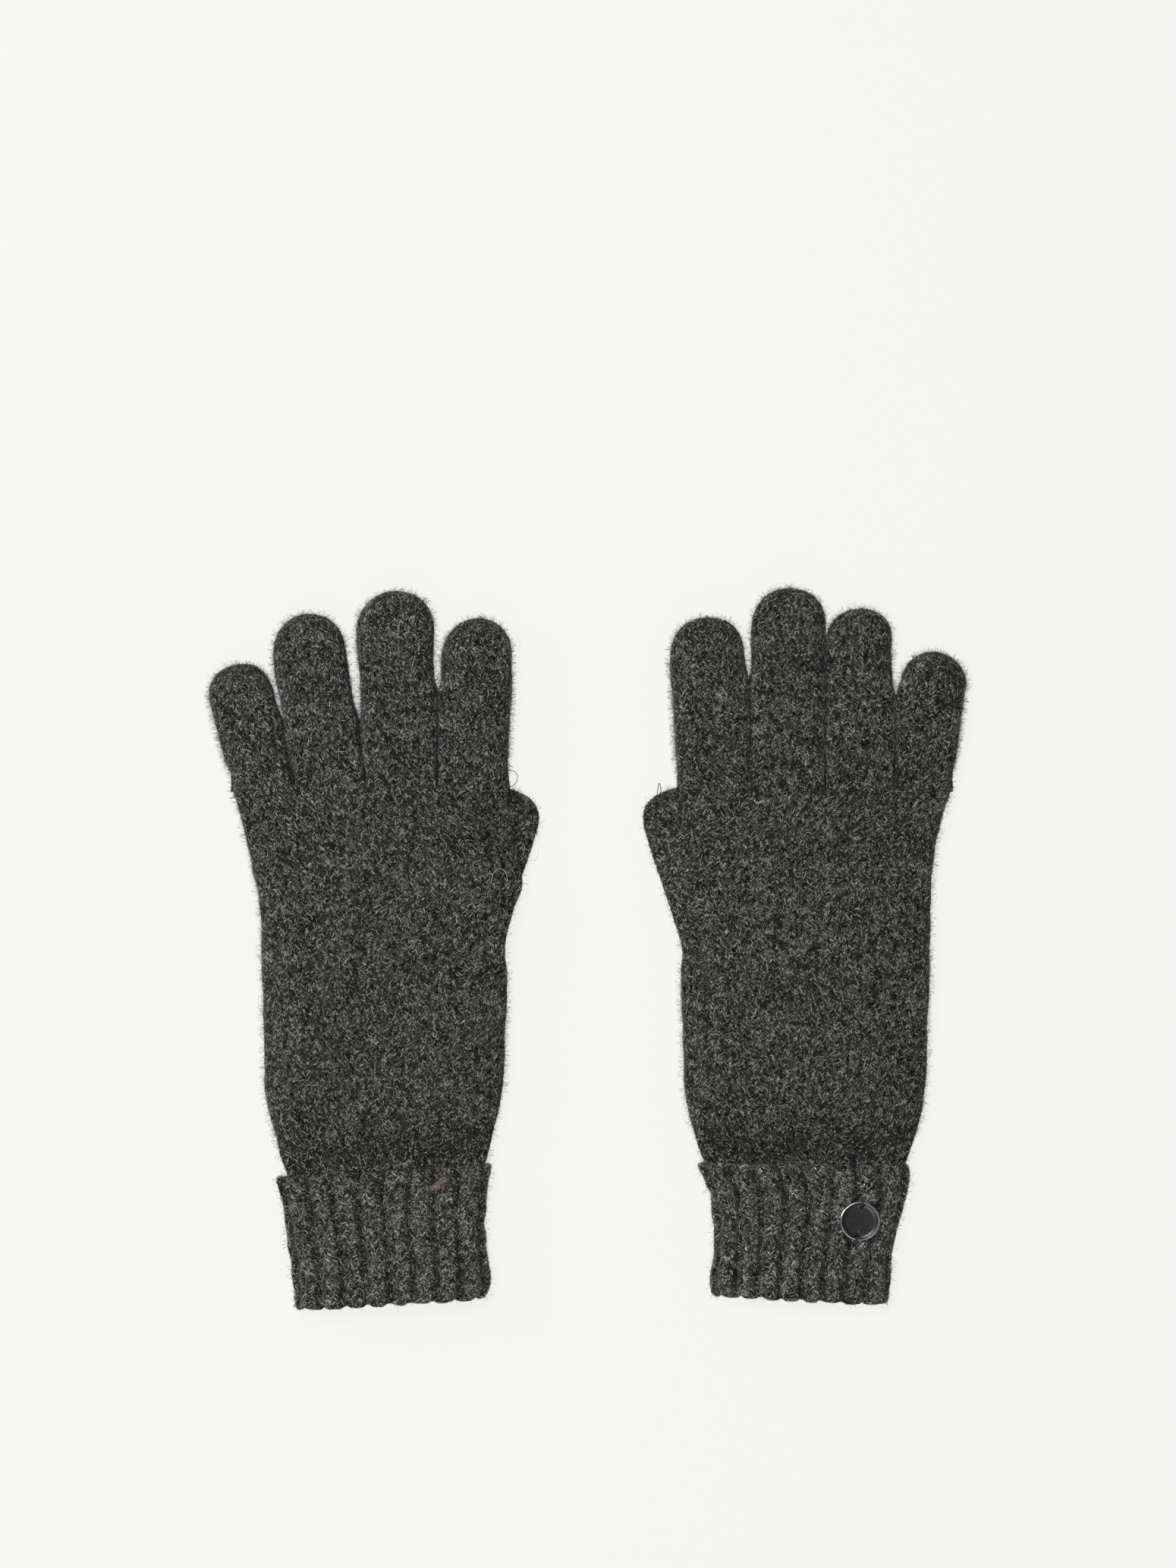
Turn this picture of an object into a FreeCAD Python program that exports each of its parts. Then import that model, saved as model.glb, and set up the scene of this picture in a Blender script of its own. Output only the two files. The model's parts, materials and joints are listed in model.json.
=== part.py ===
"""A pair of knitted gloves laid flat, backs of the hands up, one beside the other.

Each glove is a hollow knitted hand that opens at the wrist and at the knuckles, four fingers of
two hollow lengths each, a hollow thumb tucked under the palm, a ribbed inner cuff, and the
ribbed turn-up that is folded back over it. A round sewn badge sits on the right turn-up.
X runs from the left glove to the right one, Y from the wrists to the fingertips and Z up from
the surface the gloves lie on. Sizes are millimetres. The origin is the middle of the
pair's underside.
"""
import FreeCAD, Part
import math
import os
import re
import Sketcher

# Driving dimensions shared by both gloves.
COMMON = {
    "thick": 13.0,  # a hand or finger lying flat, two layers of fabric and the air between
    "wall": 1.3,  # one layer of plain fabric
    "side_round": 6.0,  # the round fold along each side
    "gap": 0.3,  # room between pieces that move against each other
    "press": 0.4,  # how much of the hand's round underside its own weight presses flat
    "knuckle_y": 63.0,  # the fold line where the fingers start
    "finger_root_y": 55.0,
    "nose_depth": 4.5,  # how far a finger's rounded inner end reaches behind its fold line
    "nose_rise": 1.9,
    "past_tip_y": 150.0,
    "hand_end_y": 56.2,
    "ball_y": 10.0,
    "heel_y": -50.0,
    "collar_y": -70.0,
    "wrist_y": -76.0,
    "turnup_top_y": -77.0,
    "fold_inside_y": -122.6,
    "fold_y": -125.0,
    "cuff_end_y": -122.3,
    "cuff_low": 2.3,  # underside of the inner cuff
    "cuff_high": 10.7,
    "cuff_wall": 1.6,
    "turnup_wall": 2.0,
    "thumb_thick": 6.0,
    "thumb_wall": 0.9,
    "thumb_round": 2.8,
    "thumb_half": 12.0,
    "thumb_entry": 9.0,  # radius of the way from the hand into the thumb
    "recess_near_y": -1.0,
    "recess_length": 70.0,
    "recess_width": 60.0,
    "badge_radius": 6.85,
    "badge_thick": 1.4,
    "badge_rim": 0.6,
    "badge_dish": 0.3,
    "badge_x": 94.7,
    "badge_y": -94.6,
    "badge_hole": 0.8,
    "badge_hole_offset": 5.45,
    "badge_turn": -9.0,  # degrees that the line of the two holes leans
    "thread_radius": 0.3,
    "thread_arch": 0.9,
}

# Widths of each glove, as the X of its left and right sides at stations along the hand.
SIDES = {
    "left": {
        "end": (-124.2, -28.0),
        "ball": (-113.9, -26.3),
        "heel": (-112.8, -29.2),
        "wrist": (-107.3, -33.6),
        "turnup_top": (-107.8, -33.2),
        "fold": (-103.9, -34.5),
        "cuff": (-101.3, -37.7),
    },
    "right": {
        "end": (31.8, 127.0),
        "ball": (29.3, 119.3),
        "heel": (34.0, 117.0),
        "wrist": (39.2, 112.6),
        "turnup_top": (38.5, 112.3),
        "fold": (43.2, 105.4),
        "cuff": (45.8, 102.8),
    },
}

# Each finger: X and half width at its root, centre and radius of its round tip, Y of its middle fold.
FINGERS = {
    "left": {
        "little": (-113.0, 10.1, -120.7, 88.1, 11.2, 80.0),
        "ring": (-89.6, 11.6, -97.7, 104.8, 12.8, 89.0),
        "middle": (-65.2, 12.0, -67.3, 111.5, 13.2, 92.0),
        "index": (-40.6, 12.0, -38.5, 102.9, 12.6, 88.0),
    },
    "right": {
        "index": (44.3, 12.0, 41.7, 103.0, 12.5, 88.0),
        "middle": (70.2, 12.2, 70.2, 113.0, 12.8, 92.0),
        "ring": (94.5, 11.3, 95.1, 107.6, 11.6, 89.0),
        "little": (116.5, 10.0, 120.2, 92.6, 11.7, 82.0),
    },
}
FINGER_CELLS = ("root_x", "root_half", "tip_x", "tip_y", "tip_half", "fold_y")

# Each thumb: centre of its root, centre of its round tip, and the corner of the recess it lies in.
THUMBS = {
    "left": {"root_x": -41.7, "root_y": 11.8, "tip_x": -30.2, "tip_y": 43.6, "recess_x": -54.6},
    "right": {"root_x": 43.5, "root_y": 11.8, "tip_x": 32.2, "tip_y": 43.6, "recess_x": -3.6},
}

doc = FreeCAD.newDocument("knitted_gloves")
sheet = doc.addObject("Spreadsheet::Sheet", "Sizes")


def write_sizes():
    """Puts every driving dimension in its own named cell."""
    cells = dict(COMMON)
    for glove, stations in SIDES.items():
        for station, (left, right) in stations.items():
            cells[f"{glove}_{station}_left"] = left
            cells[f"{glove}_{station}_right"] = right
    for glove, fingers in FINGERS.items():
        for finger, numbers in fingers.items():
            for cell, number in zip(FINGER_CELLS, numbers):
                cells[f"{glove}_{finger}_{cell}"] = number
    for glove, numbers in THUMBS.items():
        for cell, number in numbers.items():
            cells[f"{glove}_thumb_{cell}"] = number
    for row, (alias, number) in enumerate(cells.items(), start=1):
        sheet.set(f"A{row}", alias)
        sheet.set(f"B{row}", str(number))
        sheet.setAlias(f"B{row}", alias)
    doc.recompute()


def bound(expression):
    """The expression with each size's name read from the sheet."""
    return re.sub(r"[a-z]\w*", r"Sizes.\g<0>", str(expression))


def value(expression):
    return float(sheet.evalExpression(bound(expression)))


def bind(item, field, expression):
    item.setExpression(field, bound(expression))


def new_sketch(body, role, name, offset="0"):
    """A sketch on one of the body's own origin planes, moved along the plane's normal."""
    plane = next(feature for feature in body.Origin.OriginFeatures if feature.Role == role)
    sketch = body.newObject("Sketcher::SketchObject", name)
    sketch.AttachmentSupport = (plane, [""])
    sketch.MapMode = "FlatFace"
    bind(sketch, "AttachmentOffset.Base.z", offset)
    return sketch


def pin_point(sketch, curve, point, place):
    """Ties a point of the sketch to two sizes, measured from the sketch's origin."""
    for direction, expression in zip(("DistanceX", "DistanceY"), place):
        index = sketch.addConstraint(
            Sketcher.Constraint(direction, -1, 1, curve, point, value(expression))
        )
        bind(sketch, f"Constraints[{index}]", expression)


def pin_radius(sketch, curve, expression):
    index = sketch.addConstraint(Sketcher.Constraint("Radius", curve, value(expression)))
    bind(sketch, f"Constraints[{index}]", expression)


def draw_polygon(sketch, places):
    points = [FreeCAD.Vector(value(across), value(up), 0) for across, up in places]
    count = len(points)
    for index in range(count):
        sketch.addGeometry(Part.LineSegment(points[index], points[(index + 1) % count]))
    for index in range(count):
        sketch.addConstraint(Sketcher.Constraint("Coincident", index, 2, (index + 1) % count, 1))
        pin_point(sketch, index, 1, places[index])


def draw_stadium(sketch, left, right, low, high):
    """A level strip with half-round ends: the section of a tube of fabric lying flat."""
    radius = f"({high} - ({low})) / 2"
    middle = f"({high} + ({low})) / 2"
    places = ((f"{left} + {radius}", middle), (f"{right} - {radius}", middle))
    size = value(radius)
    start, end = (FreeCAD.Vector(value(across), value(up), 0) for across, up in places)
    rise = FreeCAD.Vector(0, size, 0)
    quarter = math.pi / 2
    normal = FreeCAD.Vector(0, 0, 1)
    sketch.addGeometry(Part.ArcOfCircle(Part.Circle(start, normal, size), quarter, 3 * quarter))
    sketch.addGeometry(Part.LineSegment(start - rise, end - rise))
    sketch.addGeometry(Part.ArcOfCircle(Part.Circle(end, normal, size), -quarter, quarter))
    sketch.addGeometry(Part.LineSegment(end + rise, start + rise))
    for index in range(4):
        sketch.addConstraint(Sketcher.Constraint("Tangent", index, 2, (index + 1) % 4, 1))
    for arc, place in zip((0, 2), places):
        pin_point(sketch, arc, 3, place)
        pin_radius(sketch, arc, radius)


def draw_finger_outline(sketch, root, half, tip, radius):
    """A strip from a straight root to a round tip, whose sides touch the tip's circle."""
    corners = ((f"{root[0]} - ({half})", root[1]), (f"{root[0]} + ({half})", root[1]))
    near, far = (FreeCAD.Vector(value(across), value(up), 0) for across, up in corners)
    centre = FreeCAD.Vector(value(tip[0]), value(tip[1]), 0)
    size = value(radius)
    normal = FreeCAD.Vector(0, 0, 1)
    right_angle = math.atan2(centre.y - far.y, centre.x - far.x) - math.acos(
        -size / (centre - far).Length
    )
    left_angle = math.atan2(centre.y - near.y, centre.x - near.x) + math.acos(
        -size / (centre - near).Length
    )
    arc = Part.ArcOfCircle(Part.Circle(centre, normal, size), right_angle, left_angle)
    sketch.addGeometry(Part.LineSegment(near, far))
    sketch.addGeometry(Part.LineSegment(far, arc.StartPoint))
    sketch.addGeometry(arc)
    sketch.addGeometry(Part.LineSegment(arc.EndPoint, near))
    sketch.addConstraint(Sketcher.Constraint("Coincident", 0, 2, 1, 1))
    sketch.addConstraint(Sketcher.Constraint("Tangent", 1, 2, 2, 1))
    sketch.addConstraint(Sketcher.Constraint("Tangent", 2, 2, 3, 1))
    sketch.addConstraint(Sketcher.Constraint("Coincident", 3, 2, 0, 1))
    pin_point(sketch, 0, 1, corners[0])
    pin_point(sketch, 0, 2, corners[1])
    pin_point(sketch, 2, 3, tip)
    pin_radius(sketch, 2, radius)


def pad(body, sketch, length):
    feature = body.newObject("PartDesign::Pad", body.Name + "_pad")
    feature.Profile = sketch
    bind(feature, "Length", length)
    doc.recompute()
    return feature


def round_sides(body, base, radius, low, high, keep_sharp_y=None):
    """Rounds the upper and lower edges all round, except those of a straight end."""
    edges = []
    for number, edge in enumerate(base.Shape.Edges, start=1):
        box = edge.BoundBox
        level = box.ZLength < 0.01 and min(abs(box.ZMin - low), abs(box.ZMin - high)) < 0.01
        sharp = keep_sharp_y is not None and abs(box.YMax - keep_sharp_y) < 0.01
        if level and not sharp:
            edges.append(f"Edge{number}")
    fillet = body.newObject("PartDesign::Fillet", body.Name + "_fillet")
    fillet.Base = (base, edges)
    bind(fillet, "Radius", radius)
    doc.recompute()


def finger_pillow(name, glove_finger, inset):
    """The whole finger as one rounded pillow, drawn in by a wall's thickness for its inside."""
    body = doc.addObject("PartDesign::Body", name)
    sketch = new_sketch(body, "XY_Plane", name + "_outline", inset)
    root = (f"{glove_finger}_root_x", "finger_root_y")
    tip = (f"{glove_finger}_tip_x", f"{glove_finger}_tip_y")
    draw_finger_outline(
        sketch,
        root,
        f"{glove_finger}_root_half - {inset}",
        tip,
        f"{glove_finger}_tip_half - {inset}",
    )
    doc.recompute()
    base = pad(body, sketch, f"thick - 2 * {inset}")
    low = value(inset)
    high = value(f"thick - {inset}")
    round_sides(body, base, f"side_round - {inset}", low, high, value("finger_root_y"))
    return body


def span(name, places):
    """A long bar along X whose side view is the given outline, to keep one length of a finger."""
    body = doc.addObject("PartDesign::Body", name)
    sketch = new_sketch(body, "YZ_Plane", name + "_profile", "-past_tip_y")
    draw_polygon(sketch, places)
    doc.recompute()
    pad(body, sketch, "2 * past_tip_y")
    return body


def span_profile(fold_y, end_y):
    """Side view of one length: a blunt rounded nose about the fold line, and a flat far end."""
    return (
        (fold_y, "0"),
        (end_y, "0"),
        (end_y, "thick"),
        (fold_y, "thick"),
        (f"{fold_y} - nose_depth", "thick - nose_rise"),
        (f"{fold_y} - nose_depth", "nose_rise"),
    )


def combine(kind, name, base, tool):
    """A boolean of two objects: Cut, Common or Fuse."""
    result = doc.addObject(f"Part::{kind}", name)
    result.Base = base
    result.Tool = tool
    return result


def box(name, places, sizes):
    solid = doc.addObject("Part::Box", name)
    for axis, place in zip("xyz", places):
        bind(solid, f"Placement.Base.{axis}", place)
    for field, size in zip(("Length", "Width", "Height"), sizes):
        bind(solid, field, size)
    return solid


def cylinder(name, places, radius, height):
    solid = doc.addObject("Part::Cylinder", name)
    for axis, place in zip("xyz", places):
        bind(solid, f"Placement.Base.{axis}", place)
    bind(solid, "Radius", radius)
    bind(solid, "Height", height)
    return solid


def flat_tube(name, stations, low, high):
    """A solid flat tube along Y, lofted straight from station to station."""
    body = doc.addObject("PartDesign::Body", name)
    sections = []
    for number, (along, left, right) in enumerate(stations):
        sketch = new_sketch(body, "XZ_Plane", f"{name}_section_{number}", f"-({along})")
        draw_stadium(sketch, left, right, low, high)
        sections.append(sketch)
    doc.recompute()
    loft = body.newObject("PartDesign::AdditiveLoft", name + "_loft")
    loft.Profile = sections[0]
    loft.Sections = sections[1:]
    loft.Ruled = True
    doc.recompute()
    return body


def make_fingers(glove):
    """Two hollow lengths for each finger, both taken from the same hollow pillow."""
    made = []
    for finger in FINGERS[glove]:
        name = f"{glove}_{finger}"
        outside = finger_pillow(name + "_outside", name, "0")
        inside = finger_pillow(name + "_inside", name, "wall")
        shell = combine("Cut", name + "_shell", outside, inside)
        fold = f"{name}_fold_y"
        base_end = f"{fold} - thick / 2 - gap"
        base_span = span(name + "_base_span", span_profile("knuckle_y", base_end))
        tip_span = span(name + "_tip_span", span_profile(fold, "past_tip_y"))
        made.append(combine("Common", name + "_finger_base", shell, base_span))
        made.append(combine("Common", name + "_finger_tip", shell, tip_span))
    return made


def thumb_pillow(name, glove, inset):
    """The thumb lying flat: a strip with two round ends, rounded along its edges."""
    body = doc.addObject("PartDesign::Body", name)
    sketch = new_sketch(body, "XY_Plane", name + "_outline", inset)
    radius = f"thumb_half - {inset}"
    places = (
        (f"{glove}_thumb_root_x", f"{glove}_thumb_root_y"),
        (f"{glove}_thumb_tip_x", f"{glove}_thumb_tip_y"),
    )
    root, tip = (FreeCAD.Vector(value(across), value(up), 0) for across, up in places)
    size = value(radius)
    normal = FreeCAD.Vector(0, 0, 1)
    lean = math.atan2(tip.y - root.y, tip.x - root.x)
    quarter = math.pi / 2
    lower = Part.ArcOfCircle(Part.Circle(root, normal, size), lean + quarter, lean + 3 * quarter)
    upper = Part.ArcOfCircle(Part.Circle(tip, normal, size), lean - quarter, lean + quarter)
    sketch.addGeometry(lower)
    sketch.addGeometry(Part.LineSegment(lower.EndPoint, upper.StartPoint))
    sketch.addGeometry(upper)
    sketch.addGeometry(Part.LineSegment(upper.EndPoint, lower.StartPoint))
    for index in range(4):
        sketch.addConstraint(Sketcher.Constraint("Tangent", index, 2, (index + 1) % 4, 1))
    for arc, place in zip((0, 2), places):
        pin_point(sketch, arc, 3, place)
        pin_radius(sketch, arc, radius)
    doc.recompute()
    base = pad(body, sketch, f"thumb_thick - 2 * {inset}")
    low = value(inset)
    high = value(f"thumb_thick - {inset}")
    round_sides(body, base, f"thumb_round - {inset}", low, high)
    return body


def thumb_entry(name, glove):
    """The round way from the hand's inside down into the thumb, on the thumb's swing axis."""
    place = (f"{glove}_thumb_root_x", f"{glove}_thumb_root_y", "thumb_thick / 2")
    return cylinder(name, place, "thumb_entry", "thumb_thick")


def make_thumb(glove):
    outside = thumb_pillow(f"{glove}_thumb_outside", glove, "0")
    inside = thumb_pillow(f"{glove}_thumb_inside", glove, "thumb_wall")
    shell = combine("Cut", f"{glove}_thumb_shell", outside, inside)
    return combine("Cut", f"{glove}_thumb", shell, thumb_entry(f"{glove}_thumb_entry", glove))


def hand_stations(glove, names, inset="0"):
    return [
        (along, f"{glove}_{station}_left + {inset}", f"{glove}_{station}_right - {inset}")
        for station, along in names
    ]


def make_hand(glove):
    """The hollow hand: open to the fingers, collared at the wrist, recessed over the thumb."""
    outer_names = (
        ("wrist", "wrist_y"),
        ("heel", "heel_y"),
        ("ball", "ball_y"),
        ("end", "hand_end_y"),
    )
    inner_names = (
        ("wrist", "collar_y"),
        ("heel", "heel_y"),
        ("ball", "ball_y"),
        ("end", "hand_end_y + gap"),
    )
    round_outside = flat_tube(
        f"{glove}_hand_round_outside", hand_stations(glove, outer_names), "-press", "thick"
    )
    surface = box(
        f"{glove}_hand_surface",
        ("-past_tip_y", "-past_tip_y", "-thick"),
        ("2 * past_tip_y", "2 * past_tip_y", "thick"),
    )
    outside = combine("Cut", f"{glove}_hand_outside", round_outside, surface)
    inside = flat_tube(
        f"{glove}_hand_inside",
        hand_stations(glove, inner_names, "wall"),
        "wall",
        "thick - wall",
    )
    collar = flat_tube(
        f"{glove}_hand_collar",
        hand_stations(glove, (("cuff", "wrist_y - gap"), ("cuff", "collar_y + gap"))),
        "cuff_low",
        "cuff_high",
    )
    recess = box(
        f"{glove}_thumb_recess",
        (f"{glove}_thumb_recess_x", "recess_near_y", "-thumb_thick"),
        ("recess_width", "recess_length", "2 * thumb_thick + gap"),
    )
    recess_walls = box(
        f"{glove}_thumb_recess_walls",
        (f"{glove}_thumb_recess_x - thumb_wall", "recess_near_y - thumb_wall", "-thumb_thick"),
        (
            "recess_width + 2 * thumb_wall",
            "recess_length",
            "2 * thumb_thick + gap + thumb_wall",
        ),
    )
    hollow = combine("Cut", f"{glove}_hand_hollow", inside, recess_walls)
    shell = combine("Cut", f"{glove}_hand_shell", outside, hollow)
    recessed = combine("Cut", f"{glove}_hand_recessed", shell, recess)
    collared = combine("Cut", f"{glove}_hand_collared", recessed, collar)
    return combine("Cut", f"{glove}_hand", collared, thumb_entry(f"{glove}_hand_entry", glove))


def make_inner_cuff(glove):
    """The ribbed tube that continues the hand at the wrist."""
    stations = (("cuff", "cuff_end_y"), ("cuff", "collar_y"))
    outside = flat_tube(
        f"{glove}_cuff_outside", hand_stations(glove, stations), "cuff_low", "cuff_high"
    )
    longer = (("cuff", "cuff_end_y - gap"), ("cuff", "collar_y + gap"))
    inside = flat_tube(
        f"{glove}_cuff_inside",
        hand_stations(glove, longer, "cuff_wall"),
        "cuff_low + cuff_wall",
        "cuff_high - cuff_wall",
    )
    return combine("Cut", f"{glove}_inner_cuff", outside, inside)


def make_turnup(glove):
    """The turned-up half of the cuff, with the fold that closes in to the cuff's mouth."""
    outside = flat_tube(
        f"{glove}_turnup_outside",
        hand_stations(glove, (("fold", "fold_y"), ("turnup_top", "turnup_top_y"))),
        "0",
        "thick",
    )
    inner_names = (("fold", "fold_inside_y"), ("turnup_top", "turnup_top_y + gap"))
    inside = flat_tube(
        f"{glove}_turnup_inside",
        hand_stations(glove, inner_names, "turnup_wall"),
        "turnup_wall",
        "thick - turnup_wall",
    )
    mouth_names = (("cuff", "fold_y - gap"), ("cuff", "fold_inside_y + gap"))
    mouth = flat_tube(
        f"{glove}_turnup_mouth",
        hand_stations(glove, mouth_names, "cuff_wall"),
        "cuff_low + cuff_wall",
        "cuff_high - cuff_wall",
    )
    shell = combine("Cut", f"{glove}_turnup_shell", outside, inside)
    return combine("Cut", f"{glove}_turned_up_cuff", shell, mouth)


def hole_place(side, distance):
    """X and Y on the line of the badge's two holes, a distance from its centre."""
    turn = math.radians(value("badge_turn"))
    across = f"badge_x + {side} * ({distance}) * {-math.sin(turn):.4f}"
    along = f"badge_y + {side} * ({distance}) * {math.cos(turn):.4f}"
    return across, along


def make_badge():
    """A round metal disc with a raised rim, a dished face and two sewing holes."""
    centre = ("badge_x", "badge_y")
    disc = cylinder("badge_disc", (*centre, "thick"), "badge_radius", "badge_thick")
    dish = cylinder(
        "badge_dished_face",
        (*centre, "thick + badge_thick - badge_dish"),
        "badge_radius - badge_rim",
        "badge_thick",
    )
    dished = combine("Cut", "badge_dished", disc, dish)
    holes = [
        cylinder(
            f"badge_hole_{number}",
            (*hole_place(side, "badge_hole_offset"), "thick - badge_thick"),
            "badge_hole",
            "3 * badge_thick",
        )
        for number, side in enumerate((-1, 1), start=1)
    ]
    drilled = combine("Cut", "badge_drilled", dished, holes[0])
    return combine("Cut", "right_badge", drilled, holes[1])


def make_badge_thread():
    """Two stitches, each up through a hole, over the rim and down beside the badge."""
    thread = value("thread_radius")
    arch = value("thread_arch")
    floor = value("thick")
    top = value("thick + badge_thick") + value("gap") / 2
    turn = math.radians(value("badge_turn"))
    outward = FreeCAD.Vector(-math.sin(turn), math.cos(turn), 0)
    centre = FreeCAD.Vector(value("badge_x"), value("badge_y"), 0)
    across = outward.cross(FreeCAD.Vector(0, 0, 1))
    stitches = []
    for side in (-1, 1):
        inner = centre + outward * side * value("badge_hole_offset")
        outer = inner + outward * side * 2 * arch
        middle = (inner + outer) * 0.5
        legs = []
        for place in (inner, outer):
            start = FreeCAD.Vector(place.x, place.y, floor)
            legs.append(Part.makeCylinder(thread, top - floor, start))
        hub = FreeCAD.Vector(middle.x, middle.y, top)
        ring = Part.makeTorus(arch, thread, hub, across)
        upper = Part.makeBox(10 * arch, 10 * arch, 4 * arch)
        upper.translate(hub - FreeCAD.Vector(5 * arch, 5 * arch, 0))
        stitches.append(legs[0].fuse([legs[1], ring.common(upper)]).removeSplitter())
    feature = doc.addObject("Part::Feature", "right_badge_thread")
    feature.Shape = Part.makeCompound(stitches)
    feature.Placement = FreeCAD.Placement()
    return feature


def check(made):
    """Stops before anything is written if an object failed or a sub-part is not a sound solid."""
    for item in doc.Objects:
        if "Invalid" in item.State or "Error" in item.State:
            raise RuntimeError(f"{item.Label} did not compute: {item.State}")
    for item in made:
        shape = item.Shape
        if shape.isNull() or not shape.isValid() or shape.Volume <= 0:
            raise RuntimeError(f"{item.Label} has no sound shape")


def main():
    write_sizes()
    made = []
    for glove in SIDES:
        made.append(make_hand(glove))
        made.append(make_inner_cuff(glove))
        made.append(make_turnup(glove))
        made.append(make_thumb(glove))
        made.extend(make_fingers(glove))
    made.append(make_badge())
    made.append(make_badge_thread())
    doc.recompute()
    for item in made:
        item.Label = item.Name
    check(made)
    os.makedirs("parts", exist_ok=True)
    for item in made:
        item.Shape.exportStep(f"parts/{item.Label}.step")
        print(f"{item.Label}: {len(item.Shape.Solids)} solid(s), {item.Shape.Volume:.0f} mm3")


main()
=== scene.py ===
"""A pair of charcoal melange knitted gloves, laid flat: the looks, built round the CAD frame.

Every fabric surface is a tube of fabric laid out on a grid that follows the stitches: one
coordinate counts wales (columns of stitches) round the tube, the other counts courses (rows)
along it. The stitches are real relief on that grid, and loose wool fibres lie over it.
All lengths are metres.
"""
import functools
import json
import math

import bpy
import mathutils
import numpy as np
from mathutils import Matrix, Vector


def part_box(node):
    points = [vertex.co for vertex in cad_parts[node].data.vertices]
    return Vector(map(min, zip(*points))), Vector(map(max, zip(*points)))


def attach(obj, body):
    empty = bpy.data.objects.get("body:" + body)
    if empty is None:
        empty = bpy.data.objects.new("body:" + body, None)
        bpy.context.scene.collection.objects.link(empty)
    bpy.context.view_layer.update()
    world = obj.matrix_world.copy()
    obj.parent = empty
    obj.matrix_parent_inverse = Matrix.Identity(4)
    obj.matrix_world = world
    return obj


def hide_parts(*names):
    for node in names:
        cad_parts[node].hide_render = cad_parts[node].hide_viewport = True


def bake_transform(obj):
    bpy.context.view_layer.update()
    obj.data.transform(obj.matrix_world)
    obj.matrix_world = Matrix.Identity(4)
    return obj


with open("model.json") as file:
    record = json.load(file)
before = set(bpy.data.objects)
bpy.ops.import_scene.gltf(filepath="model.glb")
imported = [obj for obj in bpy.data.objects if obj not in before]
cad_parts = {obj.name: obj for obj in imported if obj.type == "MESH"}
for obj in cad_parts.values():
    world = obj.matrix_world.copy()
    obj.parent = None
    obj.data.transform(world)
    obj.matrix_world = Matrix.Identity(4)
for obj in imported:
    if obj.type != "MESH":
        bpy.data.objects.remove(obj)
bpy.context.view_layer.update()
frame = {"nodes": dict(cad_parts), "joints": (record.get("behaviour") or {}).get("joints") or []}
JOINTS = {joint["name"]: joint for joint in frame["joints"]}
BOXES = {node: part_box(node) for node in frame["nodes"]}

MM = 0.001


def mm(*values):
    """Lengths in millimetres as metres."""
    return np.array(values) * MM


# Knitting
WALE = 2.5 * MM  # width of one stitch of plain knit
COURSE = 1.78 * MM  # height of one stitch of plain knit
RIB_COURSE = 1.53 * MM
ACROSS = 7  # grid cells across one stitch
ALONG = 5  # grid cells along one stitch
LEG_RISE = 0.85  # courses that a stitch's leg climbs from the middle of its wale to the edge
PLAIN_RELIEF = 0.62 * MM
RIB_DEPTH = 1.6 * MM
RIB_RELIEF = 0.4 * MM
STITCH_DRIFT = 7.0 * MM  # size of the patches of looser and tighter stitches

# Thicknesses, measured up from the surface the gloves lie on
HAND_TOP = 12.2 * MM
HAND_LOW = 0.35 * MM
FINGER_TOP = 11.9 * MM
THUMB_TOP = 5.7 * MM
THUMB_CLEAR = 6.3 * MM  # the palm's underside where it lies over the thumb

# Where the fabric changes from one tube to the next
HAND_END = 55.0 * MM
HAND_START = -84.0 * MM
INNER_TOP = -80.0 * MM
BEND_REACH = 7.0 * MM  # stretch each side of a finger's middle joint, passed along with the finger's end piece; it also sets where the finger splits
ROOT_BLEND = (56.0 * MM, 68.5 * MM)  # and the stretch at its knuckle, passed along with the finger's root piece; its end also sets the split
ROOT_MORPH = 13.0 * MM  # a slice of the hand becomes a round finger over this length
FINGER_SPREAD = 0.35 * MM

# Stitches round each tube, and grid cells across a stitch
HAND_WALES = 76
HAND_ACROSS = 6
THUMB_WALES = 21
RIB_WALES = 72
RIB_ACROSS = 5
INNER_ACROSS = 3
INNER_ALONG = 2

# Sections: 2 is an ellipse, more is squarer
HAND_SQUARE = 3.3
FINGER_SQUARE = 2.6
TOUCHING_SQUARE = {"left": 3.6, "right": 4.6}  # where fingers lie against each other
THUMB_SQUARE = 2.8
THINNEST = 0.02  # share of its width that a tube keeps at its rounded end
THUMB_BULGE = 0.10
THUMB_LONGER = 0.8 * MM
FINGER_SIDES = 16.8 * MM  # a finger's two sides, beyond its front and back
CALM = 8.0 * MM  # slow waves die out this far from where the fingers begin
WRIST_PAINTED_SHADE = 0.42  # how much darker the stitches are painted in the crease above the cuff: painted shade
SEEDS = {"left": {"hand": 11, "cuff": 31}, "right": {"hand": 12, "cuff": 32}}

CUFF_WALL = 2.0 * MM
CUFF_TOP = 12.9 * MM
CUFF_LIP = 12.2 * MM
CUFF_LOW = 0.15 * MM
CUFF_DEPTH = 47.0 * MM
SCALLOP = 0.45 * MM  # how far the ribs' ridges hang below the fold's hollows
INNER_INSET = 0.4 * MM
INNER_LOW = 2.6 * MM
INNER_HIGH = 10.3 * MM

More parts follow.
